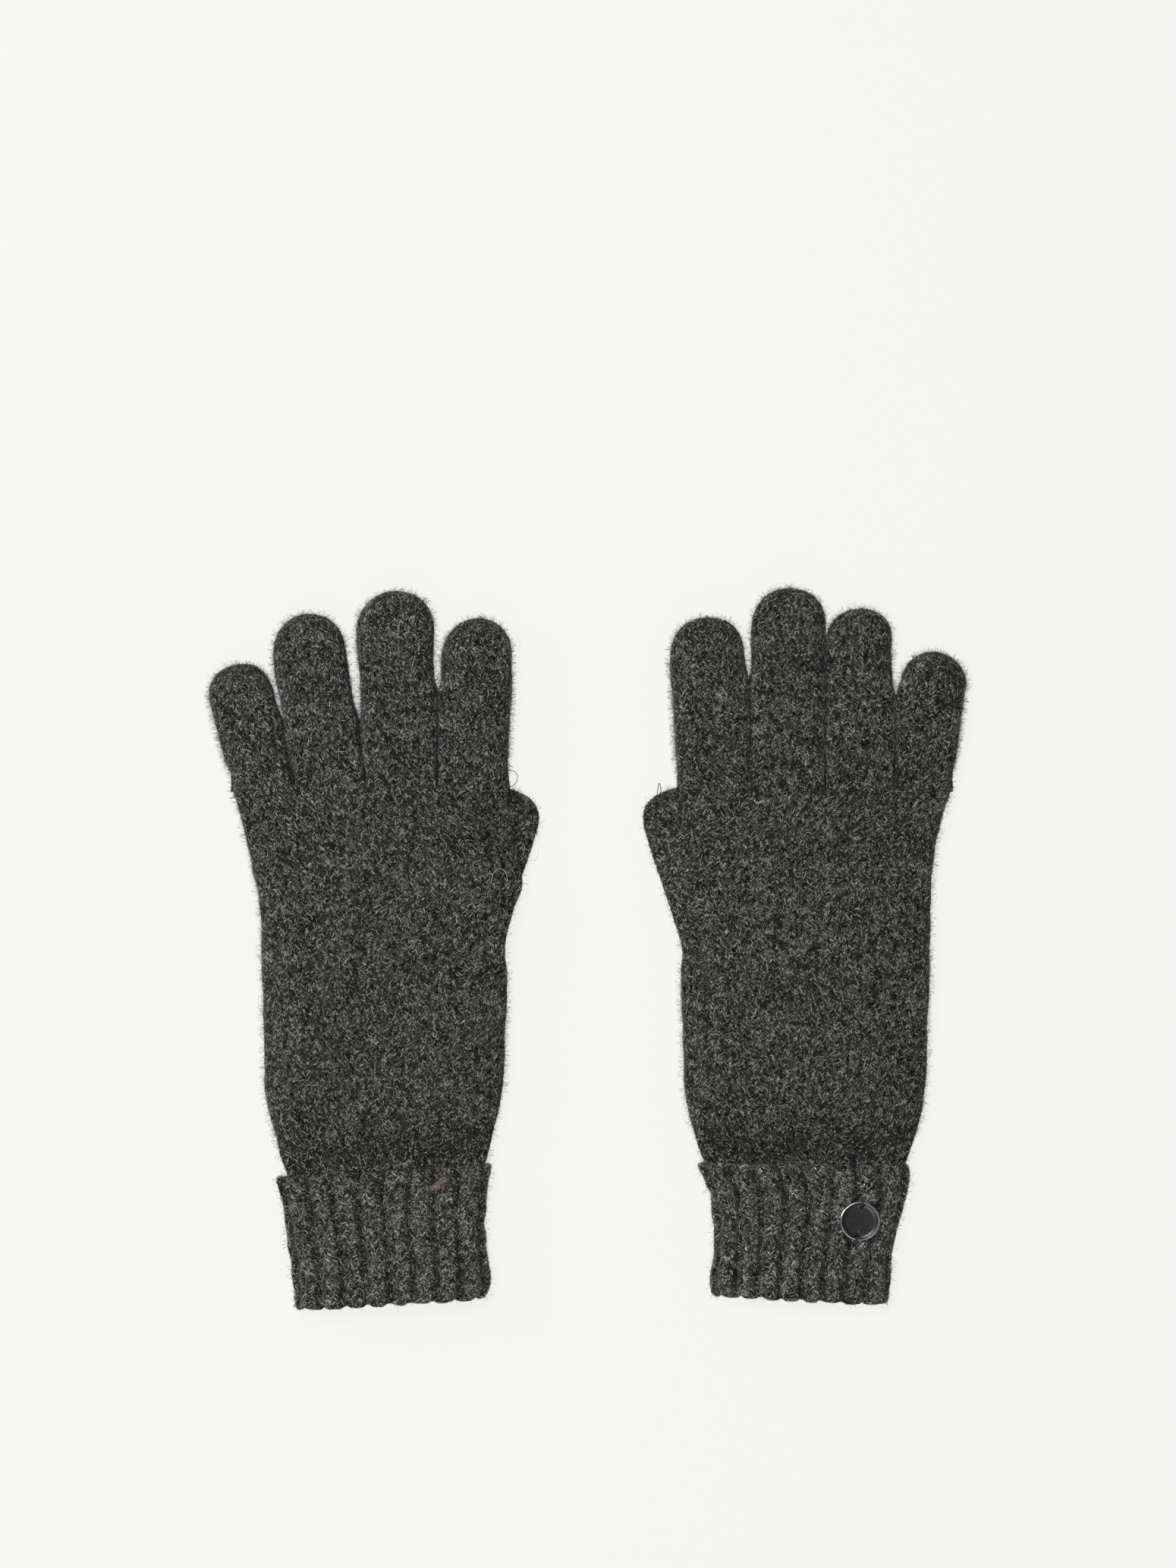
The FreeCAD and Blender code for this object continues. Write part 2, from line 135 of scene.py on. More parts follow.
# How far the soft fabric lies from the frame's edges, left and right, at stations up the glove
HAND_STATIONS = mm(-72, -60, -50, -13, 3, 12, 24, 35, 51, 55)
HAND_EASE = {
    "left": (mm(1.4, 0.7, 0.2, 0.0, 0.1, 0.3, 1.0, 1.4, 0.6, 0.1),
             mm(-1.0, -1.0, -0.2, -0.6, -2.4, 0.2, 4.9, 1.8, 0.0, 0.0)),
    "right": (mm(0.9, -0.6, -0.5, 1.2, 3.2, -0.2, -4.5, -1.8, -0.3, 0.0),
              mm(-1.6, 0.5, 0.5, 0.7, 0.2, -0.6, -1.6, -2.8, -1.0, -0.3)),
}
CUFF_STATIONS = mm(-125, -118, -110, -99, -88, -77)
CUFF_EASE = {
    "left": (mm(1.0, 1.6, 1.9, 1.2, 0.1, -1.1), mm(-0.3, 0.1, -0.7, -1.8, -1.9, -0.5)),
    "right": (mm(-0.6, -0.2, 1.8, 3.3, 2.8, -0.9), mm(-0.3, -0.9, -1.8, -1.4, 0.8, 0.1)),
}
# Lowest and highest point of the hand near the wrist, by how far above the cuff's top edge
WRIST_STATIONS = mm(-8, 0.5, 6.0, 10.5, 19)
WRIST_LOW = np.append(mm(2.4, 2.4, 3.2, 1.2), HAND_LOW)
WRIST_HIGH = np.append(mm(10.5, 10.5, 8.6, 11.3), HAND_TOP)
# How each finger differs from its frame: sideways, half width and length in mm, and tip squareness
FINGER_EASE = {
    "left": {
        "little": (0.0, 0.0, 0.2, 2.2),
        "ring": (0.3, 0.0, -0.6, 2.05),
        "middle": (0.2, 0.1, 0.2, 2.2),
        "index": (0.1, -0.4, 0.0, 2.0),
    },
    "right": {
        "index": (-0.1, 0.3, 0.2, 2.3),
        "middle": (-0.2, -0.1, 0.1, 2.25),
        "ring": (-0.3, -0.2, -0.4, 2.15),
        "little": (0.1, -0.6, -0.5, 2.1),
    },
}
# Slope of the turned-up cuff's fold and of its top edge, and how high each is at the middle
FOLD_LINE = {"left": (0.063, -123.7 * MM), "right": (-0.047, -122.2 * MM)}
LIP_LINE = {"left": (0.058, -76.8 * MM), "right": (-0.011, -74.4 * MM)}
FINGERS = {glove: tuple(eases) for glove, eases in FINGER_EASE.items()}  # from the photo's left
TOUCH = {"left": mm(81, 81, 91), "right": mm(97, 108, 90)}  # height up to which neighbours touch
TOUCH_OVERLAP = 0.35 * MM


def smooth(value, start, end):
    """0 before start, 1 after end and an easy curve between them."""
    share = np.clip((value - start) / (end - start), 0, 1)
    return share * share * (3 - 2 * share)


def stacked(*values):
    """Columns side by side, where a single number fills its column."""
    return np.stack(np.broadcast_arrays(*values), axis=-1)


def mix(a, b, share):
    return a + (b - a) * share


def unit(vectors):
    return vectors / np.maximum(np.linalg.norm(vectors, axis=-1, keepdims=True), 1e-12)


def scatter(*counts):
    """A repeatable random number from 0 to 1 for each set of whole numbers."""
    total = sum(np.floor(count) * weight for count, weight in zip(counts, (12.9898, 78.233, 37.719)))
    return np.modf(np.abs(np.sin(total) * 43758.5453))[0]


def slow_waves(points, seed, scale):
    """Gentle uneven swelling, the same for neighbouring pieces because it depends on place alone."""
    rng = np.random.default_rng(seed)
    total = np.zeros(points.shape[:-1])
    for _ in range(9):
        direction = unit(rng.normal(size=3)) * rng.uniform(0.5, 1.6) * 2 * math.pi / scale
        total += np.sin(points @ direction + rng.uniform(0, 2 * math.pi))
    return total / 9


def oval(left, right, low, high, squareness, count=360):
    """A closed outline in X and Z from the middle of the underside round by the right."""
    angle = np.linspace(-math.pi / 2, 1.5 * math.pi, count)
    power = 2 / squareness
    across = np.sign(np.cos(angle)) * np.abs(np.cos(angle)) ** power
    rise = np.sign(np.sin(angle)) * np.abs(np.sin(angle)) ** power
    x = (left + right) / 2 + (right - left) / 2 * across
    z = (low + high) / 2 + (high - low) / 2 * rise
    return np.stack((x, z), axis=1)


def even_steps(outline, count):
    """The closed outline as count + 1 points, equally far apart."""
    steps = np.linalg.norm(np.diff(outline, axis=0), axis=1)
    run = np.concatenate(((0,), np.cumsum(steps)))
    wanted = np.linspace(0, run[-1], count + 1)
    return np.stack([np.interp(wanted, run, outline[:, axis]) for axis in range(outline.shape[1])], axis=1)


def plain_relief(wales, courses):
    """Height, from 0 to 1, of plain knit: each stitch is a V of two raised legs."""
    place = wales - np.floor(wales)
    spread = np.abs(place - 0.5) * 2
    crest = courses - LEG_RISE * spread
    leg = np.floor(wales * 2)
    jitter = 0.30 * (scatter(leg, crest, 3) - 0.5)
    offset = (crest + jitter - np.floor(crest + jitter) - 0.5) * 2
    round_leg = np.sqrt(np.clip(1 - offset**2, 0, 1))
    envelope = 1 - 0.45 * np.abs(2 * spread - 1) ** 3
    uneven = 0.72 + 0.28 * scatter(leg, crest, 9)
    return round_leg * envelope * uneven


def purl_relief(wales, courses):
    """Height, from 0 to 1, of purl stitches: rows of small arched bumps."""
    arch = courses + 0.28 * np.cos(2 * math.pi * wales)
    offset = (arch - np.floor(arch) - 0.5) * 2
    return np.sqrt(np.clip(1 - offset**2, 0, 1)) * (0.8 + 0.2 * scatter(wales, arch, 5))


def rib_wales(place):
    """Wale number across a rib: the two sunk wales are drawn together, so the raised two look wide."""
    repeat = np.floor(place / 4)
    return repeat * 4 + np.interp(place - repeat * 4, (0, 0.62, 3.38, 4), (0, 1, 3, 4))


def rib_shape(wales):
    """1 on the raised pairs of wales and 0 in the sunk pairs."""
    return 0.5 - 0.5 * np.tanh(2.4 * np.cos(2 * math.pi * wales / 4))


class Tube:
    """A tube of fabric: rows of points round it, with each point's wale and course number."""

    def __init__(self, rows, wales, courses):
        self.points = np.array(rows)
        shape = self.points.shape[:2]
        self.wales = np.broadcast_to(np.linspace(0, wales, shape[1]), shape)
        self.courses = np.broadcast_to(np.asarray(courses)[:, None], shape)
        self.relief = np.zeros(shape)

    def frame(self):
        """Unit vectors round the tube, along it and out of the fabric."""
        points = self.points
        closed = np.concatenate((points[:, -2:-1], points, points[:, 1:2]), axis=1)
        round_it = unit(closed[:, 2:] - closed[:, :-2])
        along = unit(np.gradient(points, axis=0))
        return round_it, along, unit(np.cross(along, round_it))

    def middle(self):
        """How far across the middle of each row is."""
        half = self.points.shape[1] // 2
        return (self.points[:, :1, 0] + self.points[:, half : half + 1, 0]) / 2

    def swell(self, seed, scale, height, share=1.0):
        """Slow unevenness of the upper side."""
        upper = smooth(self.points[..., 2], 3 * MM, 9 * MM)
        self.points[..., 2] += slow_waves(self.points, seed, scale) * height * upper * share

    def wobble(self, seed, scale, width, half_width, share=1.0):
        """Unevenness of the two sides."""
        reach = np.clip(np.abs(self.points[..., 0] - self.middle()) / half_width, 0, 1) ** 4
        self.points[..., 0] += slow_waves(self.points, seed, scale) * width * reach * share

    def raise_by(self, height):
        self.points = self.points + self.frame()[2] * height[..., None]

    def loosen(self):
        """Stitches drift a little sideways and along, as uneven tension makes them."""
        self.wales = self.wales + slow_waves(self.points, 71, STITCH_DRIFT) * 0.40
        self.courses = self.courses + slow_waves(self.points, 72, STITCH_DRIFT) * 0.60

    def knit_plain(self):
        self.loosen()
        self.relief = plain_relief(self.wales, self.courses)
        self.raise_by((self.relief - 1) * PLAIN_RELIEF)

    def knit_rib(self, share, depth=1.0):
        """Two wales of plain knit, then two of purl. share is 0 where the fabric is hidden."""
        self.wales = rib_wales(self.wales)
        self.loosen()
        ridge = rib_shape(self.wales)
        small = mix(purl_relief(self.wales, self.courses), plain_relief(self.wales, self.courses), ridge)
        # painted shade: the sunk pairs get a lower relief, which the wool material draws darker
        self.relief = np.clip(small * (0.42 + 0.58 * ridge), 0, 1)
        uneven = 0.85 + 0.5 * slow_waves(self.points, 73, 12 * MM)
        sunk = (ridge - 1) * RIB_DEPTH * depth * uneven
        self.raise_by((sunk + (small - 1) * RIB_RELIEF) * share)

    def part(self, rows=slice(None), columns=slice(None)):
        """A stretch of the tube as a piece of its own."""
        piece = Tube.__new__(Tube)
        for name in ("points", "wales", "courses", "relief"):
            setattr(piece, name, getattr(self, name)[rows, columns])
        piece.round_it, piece.along, piece.out = (way[rows, columns] for way in self.frame())
        return piece


def mesh_object(name, points, faces, sizes, materials, face_materials=None):
    """A mesh from points and a flat list of corner numbers. sizes is each face's corner count, or all's."""
    if np.ndim(sizes) == 0:
        sizes = np.full(len(faces) // sizes, sizes)
    mesh = bpy.data.meshes.new(name)
    mesh.vertices.add(len(points))
    mesh.vertices.foreach_set("co", np.asarray(points, np.float32).ravel())
    mesh.loops.add(len(faces))
    mesh.loops.foreach_set("vertex_index", np.asarray(faces, np.int32))
    starts = np.concatenate(((0,), np.cumsum(sizes)[:-1])).astype(np.int32)
    mesh.polygons.add(len(sizes))
    mesh.polygons.foreach_set("loop_start", starts)
    mesh.polygons.foreach_set("use_smooth", np.full(len(sizes), True))
    for material in materials:
        mesh.materials.append(material)
    if face_materials is not None:
        mesh.polygons.foreach_set("material_index", np.asarray(face_materials, np.int32))
    mesh.update(calc_edges=True)
    mesh.validate()
    thing = bpy.data.objects.new(name, mesh)
    bpy.context.scene.collection.objects.link(thing)
    return thing


def grid(shape, first=0):
    """The numbers of a grid's points, and the corner numbers of the quads between them."""
    index = np.arange(shape[0] * shape[1]).reshape(shape[:2]) + first
    return index, stacked(index[:-1, :-1], index[1:, :-1], index[1:, 1:], index[:-1, 1:]).ravel()


def fabric_object(name, piece, material, ends):
    """The piece's grid as a mesh that carries its wales, courses and relief. ends says which close."""
    index, faces = grid(piece.points.shape)
    sizes = np.full(len(faces) // 4, 4)
    points = piece.points.reshape(-1, 3)
    stitches = stacked(piece.wales, piece.courses, piece.relief).reshape(-1, 3)
    for closed, ring, edge in zip(ends, (0, -1), (index[0], index[-1, ::-1])):
        if closed:
            points = np.concatenate((points, piece.points[ring].mean(axis=0)[None]))
            stitches = np.concatenate((stitches, stitches[edge[:1]]))
            faces = np.concatenate((faces, stacked(edge[:-1], edge[1:], len(points) - 1).ravel()))
            sizes = np.concatenate((sizes, np.full(len(edge) - 1, 3)))
    thing = mesh_object(name, points, faces, sizes, [material])
    attribute = thing.data.attributes.new("knit", "FLOAT_VECTOR", "POINT")
    attribute.data.foreach_set("vector", np.asarray(stitches, np.float32).ravel())
    return thing


# ---- materials


class Nodes:
    """Short ways to make shader nodes in one material."""

    def __init__(self, name, settings):
        self.material = bpy.data.materials.new(name)
        self.material.use_nodes = True
        self.tree = self.material.node_tree
        self.inputs = self.tree.nodes["Principled BSDF"].inputs
        for socket, value in settings.items():
            self.inputs[socket].default_value = value

    def feed(self, socket, value):
        if isinstance(value, bpy.types.NodeSocket):
            self.tree.links.new(value, socket)
        else:
            socket.default_value = value

    def make(self, kind, inputs=(), **settings):
        """A node with its settings, and its inputs by number or by name."""
        node = self.tree.nodes.new("ShaderNode" + kind)
        for setting, value in settings.items():
            setattr(node, setting, value)
        for socket, value in dict(inputs).items():
            self.feed(node.inputs[socket], value)
        return node

    def math(self, operation, *values):
        return self.make("Math", enumerate(values), operation=operation).outputs[0]

    def times(self, value, factor):
        return self.math("MULTIPLY", value, factor)

    def total(self, start, *terms):
        """start plus each term's value times its weight."""
        for value, weight in terms:
            start = self.math("MULTIPLY_ADD", value, weight, start)
        return start

    def vector(self, *values):
        return self.make("CombineXYZ", enumerate(values)).outputs[0]

    def place(self):
        return self.make("TexCoord").outputs["Object"]

    def noise(self, vector, scale, detail=2.0, roughness=0.5):
        inputs = {"Vector": vector, "Scale": scale, "Detail": detail, "Roughness": roughness}
        return self.make("TexNoise", inputs).outputs["Fac"]

    def ramp(self, value, stops):
        node = self.make("ValToRGB", {"Fac": value})
        elements = node.color_ramp.elements
        while len(elements) < len(stops):
            elements.new(0.5)
        for element, (place, colour) in zip(elements, stops):
            element.position = place
            element.color = (*colour, 1)
        return node.outputs["Color"]

    def colour(self, colour, factor):
        """Feed the shader a colour times a factor."""
        node = self.make("VectorMath", {0: colour, "Scale": factor}, operation="SCALE")
        self.feed(self.inputs["Base Color"], node.outputs[0])

    def bump(self, height, strength, distance):
        """Feed the shader a fine relief."""
        node = self.make("Bump", {"Height": height, "Strength": strength, "Distance": distance})
        self.feed(self.inputs["Normal"], node.outputs["Normal"])


# Melange colours by how pale the fibre is
WOOL_TONES = (
    (0.39, (0.0025, 0.0025, 0.0023)),
    (0.455, (0.0170, 0.0170, 0.0157)),
    (0.52, (0.0950, 0.0950, 0.0885)),
    (0.58, (0.3400, 0.3400, 0.3200)),
    (0.65, (0.7200, 0.7200, 0.6850)),
)


def wool(name, brightness):
    """Melange wool: light and dark fibres mixed in one yarn, drawn along each stitch's legs, with painted
    shade in the grooves between the legs.
    """
    n = Nodes(name, {"Roughness": 0.92, "Specular IOR Level": 0.05, "Sheen Weight": 0.26,
                     "Sheen Roughness": 0.45})
    knit = n.make("Attribute", attribute_name="knit").outputs["Vector"]
    wales, courses, relief = n.make("SeparateXYZ", {0: knit}).outputs
    spread = n.times(n.math("ABSOLUTE", n.math("SUBTRACT", n.math("FRACT", wales), 0.5)), 2.0)
    crest = n.total(courses, (spread, -LEG_RISE))
    leg = n.math("FLOOR", n.times(wales, 2.0))
    row = n.math("FLOOR", crest)
    along = n.total(courses, (spread, 0.6), (row, 17.31))
    streak = n.noise(n.vector(along, n.times(crest, 5.0), n.times(leg, 7.17)), 1.0, 2.0, 0.55)
    speckle = n.noise(n.place(), 2600.0, 1.0)
    patch = n.noise(n.place(), 150.0, 3.0, 0.6)
    broad = n.noise(n.place(), 35.0)
    band = n.noise(n.vector(n.times(wales, 0.16), n.times(row, 0.83), 2.7), 1.0, 2.0, 0.6)
    each = n.make("TexWhiteNoise", {"Vector": n.vector(leg, row, 0.5)}).outputs["Value"]
    tone = n.total(-0.09, (streak, 0.66), (speckle, 0.34), (patch, 0.08), (band, 0.10))
    # painted shade: the colour darkens where the stitches' relief is low, in the grooves
    painted_groove_shade = n.total(-0.16, (relief, 1.65))
    swell = n.total(0.84, (broad, 0.32))
    stitch = n.total(0.3, (each, 1.4))
    n.colour(n.ramp(tone, WOOL_TONES), n.times(n.times(painted_groove_shade, swell), n.times(stitch, brightness)))
    n.bump(n.total(0.0, (streak, 0.7), (speckle, 0.3)), 0.8, 0.4 * MM)
    return n.material


def fibre(name, colour):
    """One shade of loose wool fibre."""
    return Nodes(name, {"Base Color": (*colour, 1), "Roughness": 0.75, "Specular IOR Level": 0.25}).material


def gunmetal(name, colour, roughness):
    """Dark plated metal with a fine satin grain and faint rubbed patches."""
    n = Nodes(name, {"Metallic": 1.0})
    grain = n.noise(n.place(), 5200.0, 3.0, 0.6)
    rubbed = n.noise(n.place(), 420.0, 3.0, 0.6)
    n.colour(colour, n.total(0.7, (rubbed, 0.6)))
    n.feed(n.inputs["Roughness"], n.total(roughness, (grain, 0.12)))
    n.bump(grain, 0.10, 0.02 * MM)
    return n.material


def sewing_thread():
    """Dark twisted thread."""
    n = Nodes("sewing_thread_dark", {"Roughness": 0.7, "Sheen Weight": 0.2})
    lint = n.noise(n.place(), 3800.0, 2.0, 0.6)
    n.feed(n.inputs["Base Color"], n.ramp(lint, ((0.35, (0.006,) * 3), (0.7, (0.05,) * 3))))
    n.bump(lint, 0.6, 0.05 * MM)
    return n.material


# Each fabric and its finish slot
PLAIN = (wool("melange_plain_knit", 0.53), "plain_knit")
RIB = (wool("melange_rib_knit", 0.85), "rib_knit")
METAL_FACE = gunmetal("gunmetal_face", (0.070, 0.071, 0.070), 0.24)
METAL_RIM = gunmetal("gunmetal_rim", (0.52, 0.52, 0.52), 0.17)
THREAD = sewing_thread()
FIBRES = [
    fibre("fibre_black", (0.006, 0.006, 0.0055)),
    fibre("fibre_charcoal", (0.055, 0.055, 0.051)),
    fibre("fibre_grey", (0.22, 0.219, 0.207)),
    fibre("fibre_pale", (0.66, 0.655, 0.62)),
    fibre("fibre_brown", (0.20, 0.135, 0.095)),
]


# ---- loose fibres


LEG_LEAN = math.atan2(WALE / 2, LEG_RISE * COURSE)
FLECK_LENGTH = 1.22 * MM
FLECK_WIDTH = 0.15 * MM
FLECK_SPREAD = 0.34  # how far fibres stray from their stitch's leg, in radians
FUZZ_LENGTH = 2.1 * MM
FUZZ_WIDTH = 0.055 * MM
FUZZ_SPREAD = 0.9
FUZZ_LIFT = 0.6 * MM
FUZZ_HIGHEST = 2.2 * MM
FUZZ_CLEAR = 0.05 * MM  # loose fibres keep this far off the fabric and the table
# How many fibres there are of each shade in FIBRES
FLECK_SHARES = (0.46, 0.15, 0.185, 0.20, 0.005)
FUZZ_SHARES = (0.10, 0.28, 0.38, 0.22, 0.02)
TUFT_SHARES = (0.0, 0.05, 0.2, 0.15, 0.6)
# Flecks and loose fibres on a square millimetre, and how much denser the loose ones are at the sides
FUZZ = (1.75, 0.19, 42.0)
RIB_FUZZ = (1.65, 0.15, 9.0)
UNDER_FUZZ = (0.2, 0.07, 50.0)


def ribbons(name, paths, widths, sides, shades):
    """Thin flat fibres. paths is fibre x point x 3, and sides is the way each lies flat."""
    count, steps = paths.shape[:2]
    taper = np.sin(np.linspace(0.25, math.pi - 0.25, steps))[None, :, None]
    half = sides[:, None, :] * widths[:, None, None] * taper / 2
    points = np.stack((paths - half, paths + half), axis=2).reshape(-1, 3)
    first = (np.arange(count) * steps * 2)[:, None] + (np.arange(steps - 1) * 2)[None, :]
    faces = stacked(first, first + 1, first + 3, first + 2).ravel()
    return mesh_object(name, points, faces, 4, FIBRES, np.repeat(shades, steps - 1))


def sown(piece, density, edge_crowding, spread, rng):
    """Random places on the fabric, thinner on the underside and denser at its sides. With each comes
    the way along its stitch's leg, the way beside that and the way out."""
    points = piece.points
    edge_u = points[:-1, 1:] - points[:-1, :-1]
    edge_v = points[1:, :-1] - points[:-1, :-1]
    areas = np.linalg.norm(np.cross(edge_u, edge_v), axis=-1).ravel()
    facing = piece.out[:-1, :-1, 2].ravel()
    crowding = np.where(facing < -0.3, 0.25, 1 + edge_crowding * (1 - np.abs(facing)) ** 3)
    weights = areas * crowding
    count = int(weights.sum() * density / MM**2)
    cells = rng.choice(len(areas), size=count, p=weights / weights.sum())
    cells = np.unravel_index(cells, edge_u.shape[:2])
    base = points[cells] + edge_u[cells] * rng.random((count, 1))
    base = base + edge_v[cells] * rng.random((count, 1))
    side = np.where(piece.wales[cells] % 1 > 0.5, 1.0, -1.0)
    lean = (side * LEG_LEAN + rng.normal(0, spread, count))[:, None]
    ahead = piece.along[cells] * np.cos(lean) + piece.round_it[cells] * np.sin(lean)
    out = piece.out[cells]
    return base, ahead, unit(np.cross(out, ahead)), out


def rolled(beside, out, most, width, rng):
    """The way each fibre lies flat, and its width."""
    roll = rng.uniform(-most, most, len(out))[:, None]
    return beside * np.cos(roll) + out * np.sin(roll), width * rng.uniform(0.6, 1.3, len(out))


def flecks_on(name, piece, density):
    """Short pale and dark fibres lying in the yarn, along each stitch's legs."""
    rng = np.random.default_rng(hash_name(name))
    base, ahead, beside, out = sown(piece, density, 0.0, FLECK_SPREAD, rng)
    count = len(base)
    lengths = FLECK_LENGTH * rng.lognormal(0, 0.35, count)
    steps = np.linspace(0, 1, 3)
    reach = (steps - 0.5)[None, :, None] * lengths[:, None, None]
    rise = (0.05 + 0.10 * np.sin(math.pi * steps)[None] + 0.12 * rng.random((count, 1))) * MM
    paths = base[:, None] + ahead[:, None] * reach + out[:, None] * rise[..., None]
    sides, widths = rolled(beside, out, 0.5, FLECK_WIDTH, rng)
    shades = rng.choice(len(FIBRES), size=count, p=FLECK_SHARES)
    return ribbons(name + "_flecks", paths, widths, sides, shades)


def fuzz_on(name, piece, density, halo):
    """Long thin fibres that have worked loose and stand off the fabric in curls."""
    rng = np.random.default_rng(hash_name(name))
    base, ahead, beside, out = sown(piece, density, halo, FUZZ_SPREAD, rng)
    count = len(base)
    side_on = 1 - np.abs(out[:, 2])
    lengths = FUZZ_LENGTH * rng.lognormal(0, 0.45, count) * (1 - 0.35 * side_on)
    curls = rng.normal(0, 0.30, count) * lengths
    rises = np.minimum(FUZZ_LIFT * rng.exponential(1.0, count) * (1 + 0.5 * side_on), FUZZ_HIGHEST)
    steps = np.linspace(0, 1, 5)
    reach = (steps - 0.3)[None, :, None] * lengths[:, None, None]
    loose = (rng.random(count) < 0.55)[:, None]
    arch = np.where(loose, steps[None] ** 1.4, np.sin(math.pi * steps)[None])
    height = arch * rises[:, None] + FUZZ_CLEAR
    bow = (4 * steps * (1 - steps))[None, :] * curls[:, None]
    paths = base[:, None] + ahead[:, None] * reach + out[:, None] * height[..., None]
    paths = paths + beside[:, None] * bow[..., None]
    paths[..., 2] = np.maximum(paths[..., 2], FUZZ_CLEAR)
    sides, widths = rolled(beside, out, 0.9, FUZZ_WIDTH, rng)
    shades = rng.choice(len(FIBRES), size=count, p=FUZZ_SHARES)
    # painted shade: fibres on the sides, where the fabric faces sideways, mostly get the darkest shades
    darker = rng.random(count) < 0.9 * side_on
    shades = np.where(darker, np.minimum(shades, rng.integers(0, 2, count)), shades)
    return ribbons(name + "_fuzz", paths, widths * (1 + 0.7 * side_on), sides, shades)


# ---- the gloves' shapes


@functools.cache
def frame_edges(node):
    """Both ends of every edge of a frame solid."""
    mesh = frame["nodes"][node].data
    points = np.empty(len(mesh.vertices) * 3, np.float32)
    mesh.vertices.foreach_get("co", points)
    edges = np.empty(len(mesh.edges) * 2, np.int32)
    mesh.edges.foreach_get("vertices", edges)
    return points.reshape(-1, 3)[edges.reshape(-1, 2)]


def frame_span(node, y):
    """The left and right edge of a frame solid where the plane at y cuts it."""
    start, end = frame_edges(node).swapaxes(0, 1)
    cut = (start[:, 1] - y) * (end[:, 1] - y) < 0
    start, end = start[cut], end[cut]
    across = mix(start[:, 0], end[:, 0], (y - start[:, 1]) / (end[:, 1] - start[:, 1]))
    return float(across.min()), float(across.max())


def thumb_clearance(glove, x, y):
    """Height of the palm's underside: it rises where the thumb lies beneath it."""
    inward = 1 if glove == "left" else -1
    start = BOXES[f"{glove}_thumb"][0 if glove == "left" else 1][0]
    share = smooth((x - start) * inward, -4.5 * MM, -1 * MM)
    share = share * smooth(y, -10 * MM, -1 * MM) * (1 - smooth(y, 56 * MM, 63 * MM))
    return HAND_LOW + (THUMB_CLEAR - HAND_LOW) * share


def lift_underside(glove, points, low, high):
    """Squeeze the points up to leave the thumb its room, and let the edge droop over the thumb."""
    x, y = points[..., 0], points[..., 1]
    floor = np.maximum(thumb_clearance(glove, x, y), low)
    edge = x.max(axis=-1, keepdims=True) if glove == "left" else x.min(axis=-1, keepdims=True)
    droop = 1 - smooth(np.abs(x - edge), 0, 13 * MM)
    droop = 0.72 * droop * smooth(y, 8 * MM, 24 * MM) * (1 - smooth(y, 50 * MM, 60 * MM))
    points[..., 2] = floor + (points[..., 2] - low) * (high - floor) * (1 - droop) / (high - low)


def eased_span(node, at, y, stations, eases, tuck=0.0):
    """A frame solid's left and right edge where y = at, moved by the eases at y and tucked in."""
    (left, right), (left_ease, right_ease) = frame_span(node, at), eases
    return (left + (np.interp(y, stations, left_ease) + tuck),
            right + (np.interp(y, stations, right_ease) - tuck))


def hand_edges(glove, y):
    """The hand's left and right edge, tucked in a little where it goes inside the cuff."""
    node = f"{glove}_hand"
    at = np.clip(y, max(BOXES[node][0][1] + 1 * MM, -75 * MM), HAND_END - 0.5 * MM)
    tuck = 2.8 * MM * (1 - smooth(y, -80 * MM, -74 * MM))
    return eased_span(node, at, y, HAND_STATIONS, HAND_EASE[glove], tuck)


def eased_edges(glove, y):
    """The hand's edges with the corners between stations rounded off."""
    spans = np.array([hand_edges(glove, y + step * MM) for step in (-5, -2.5, 0, 2.5, 5)])
    return spans.mean(axis=0) if y < HAND_END - 6 * MM else hand_edges(glove, y)


def hand_heights(glove, y):
    """Lowest and highest point of the hand: it dips at the wrist, just above the cuff's top edge."""
    above = y - LIP_LINE[glove][1]
    return np.interp(above, WRIST_STATIONS, WRIST_LOW), np.interp(above, WRIST_STATIONS, WRIST_HIGH)


def wrist_shade_mask(glove, y):
    """1 in the crease above the cuff's top edge, where shade is painted, 0 away from it."""
    above = y - LIP_LINE[glove][1]
    return smooth(above, -1 * MM, 4 * MM) * (1 - smooth(above, 7 * MM, 19 * MM))


def hand_outline(glove, y):
    return oval(*eased_edges(glove, y), *hand_heights(glove, y), HAND_SQUARE)


def make_hand(glove):
    """The palm and back of the hand, down to where it goes inside the turned-up cuff."""
    steps = int(round((HAND_END - HAND_START) / COURSE * ALONG))
    stations = np.linspace(HAND_START, HAND_END, steps + 1)
    rows = []
    for y in stations:
        section = even_steps(hand_outline(glove, y), HAND_WALES * HAND_ACROSS)
        rows.append(stacked(section[:, 0], y, section[:, 1]))
        lift_underside(glove, rows[-1], *hand_heights(glove, y))
    tube = Tube(rows, HAND_WALES, (stations - HAND_END) / COURSE)
    seed = SEEDS[glove]["hand"]
    calm = 1 - smooth(tube.points[..., 1], HAND_END - CALM, HAND_END)
    tube.swell(seed, 34 * MM, 0.9 * MM, calm)
    middle = tube.middle()
    tube.wobble(seed + 40, 14 * MM, 0.9 * MM, 45 * MM, calm)
    tube.knit_plain()
    # painted shade: the crease above the cuff is drawn darker by lowering the relief the material reads
    tube.relief = tube.relief * (1 - WRIST_PAINTED_SHADE * wrist_shade_mask(glove, stations)[:, None])
    slope = LIP_LINE[glove][0] * (1 - smooth(stations, -72 * MM, -35 * MM))[:, None]
    tube.points[..., 1] += slope * (tube.points[..., 0] - middle)
    return tube


def hand_wale(glove, x):
    """The number of the back of the hand's wale at x, where the fingers begin."""
    section = even_steps(hand_outline(glove, HAND_END), HAND_WALES * HAND_ACROSS)
    count = len(section)
    back = section[count // 4 : count * 3 // 4]
    wales = np.linspace(0, HAND_WALES, count)[count // 4 : count * 3 // 4]
    return np.interp(-x, -back[:, 0], wales)


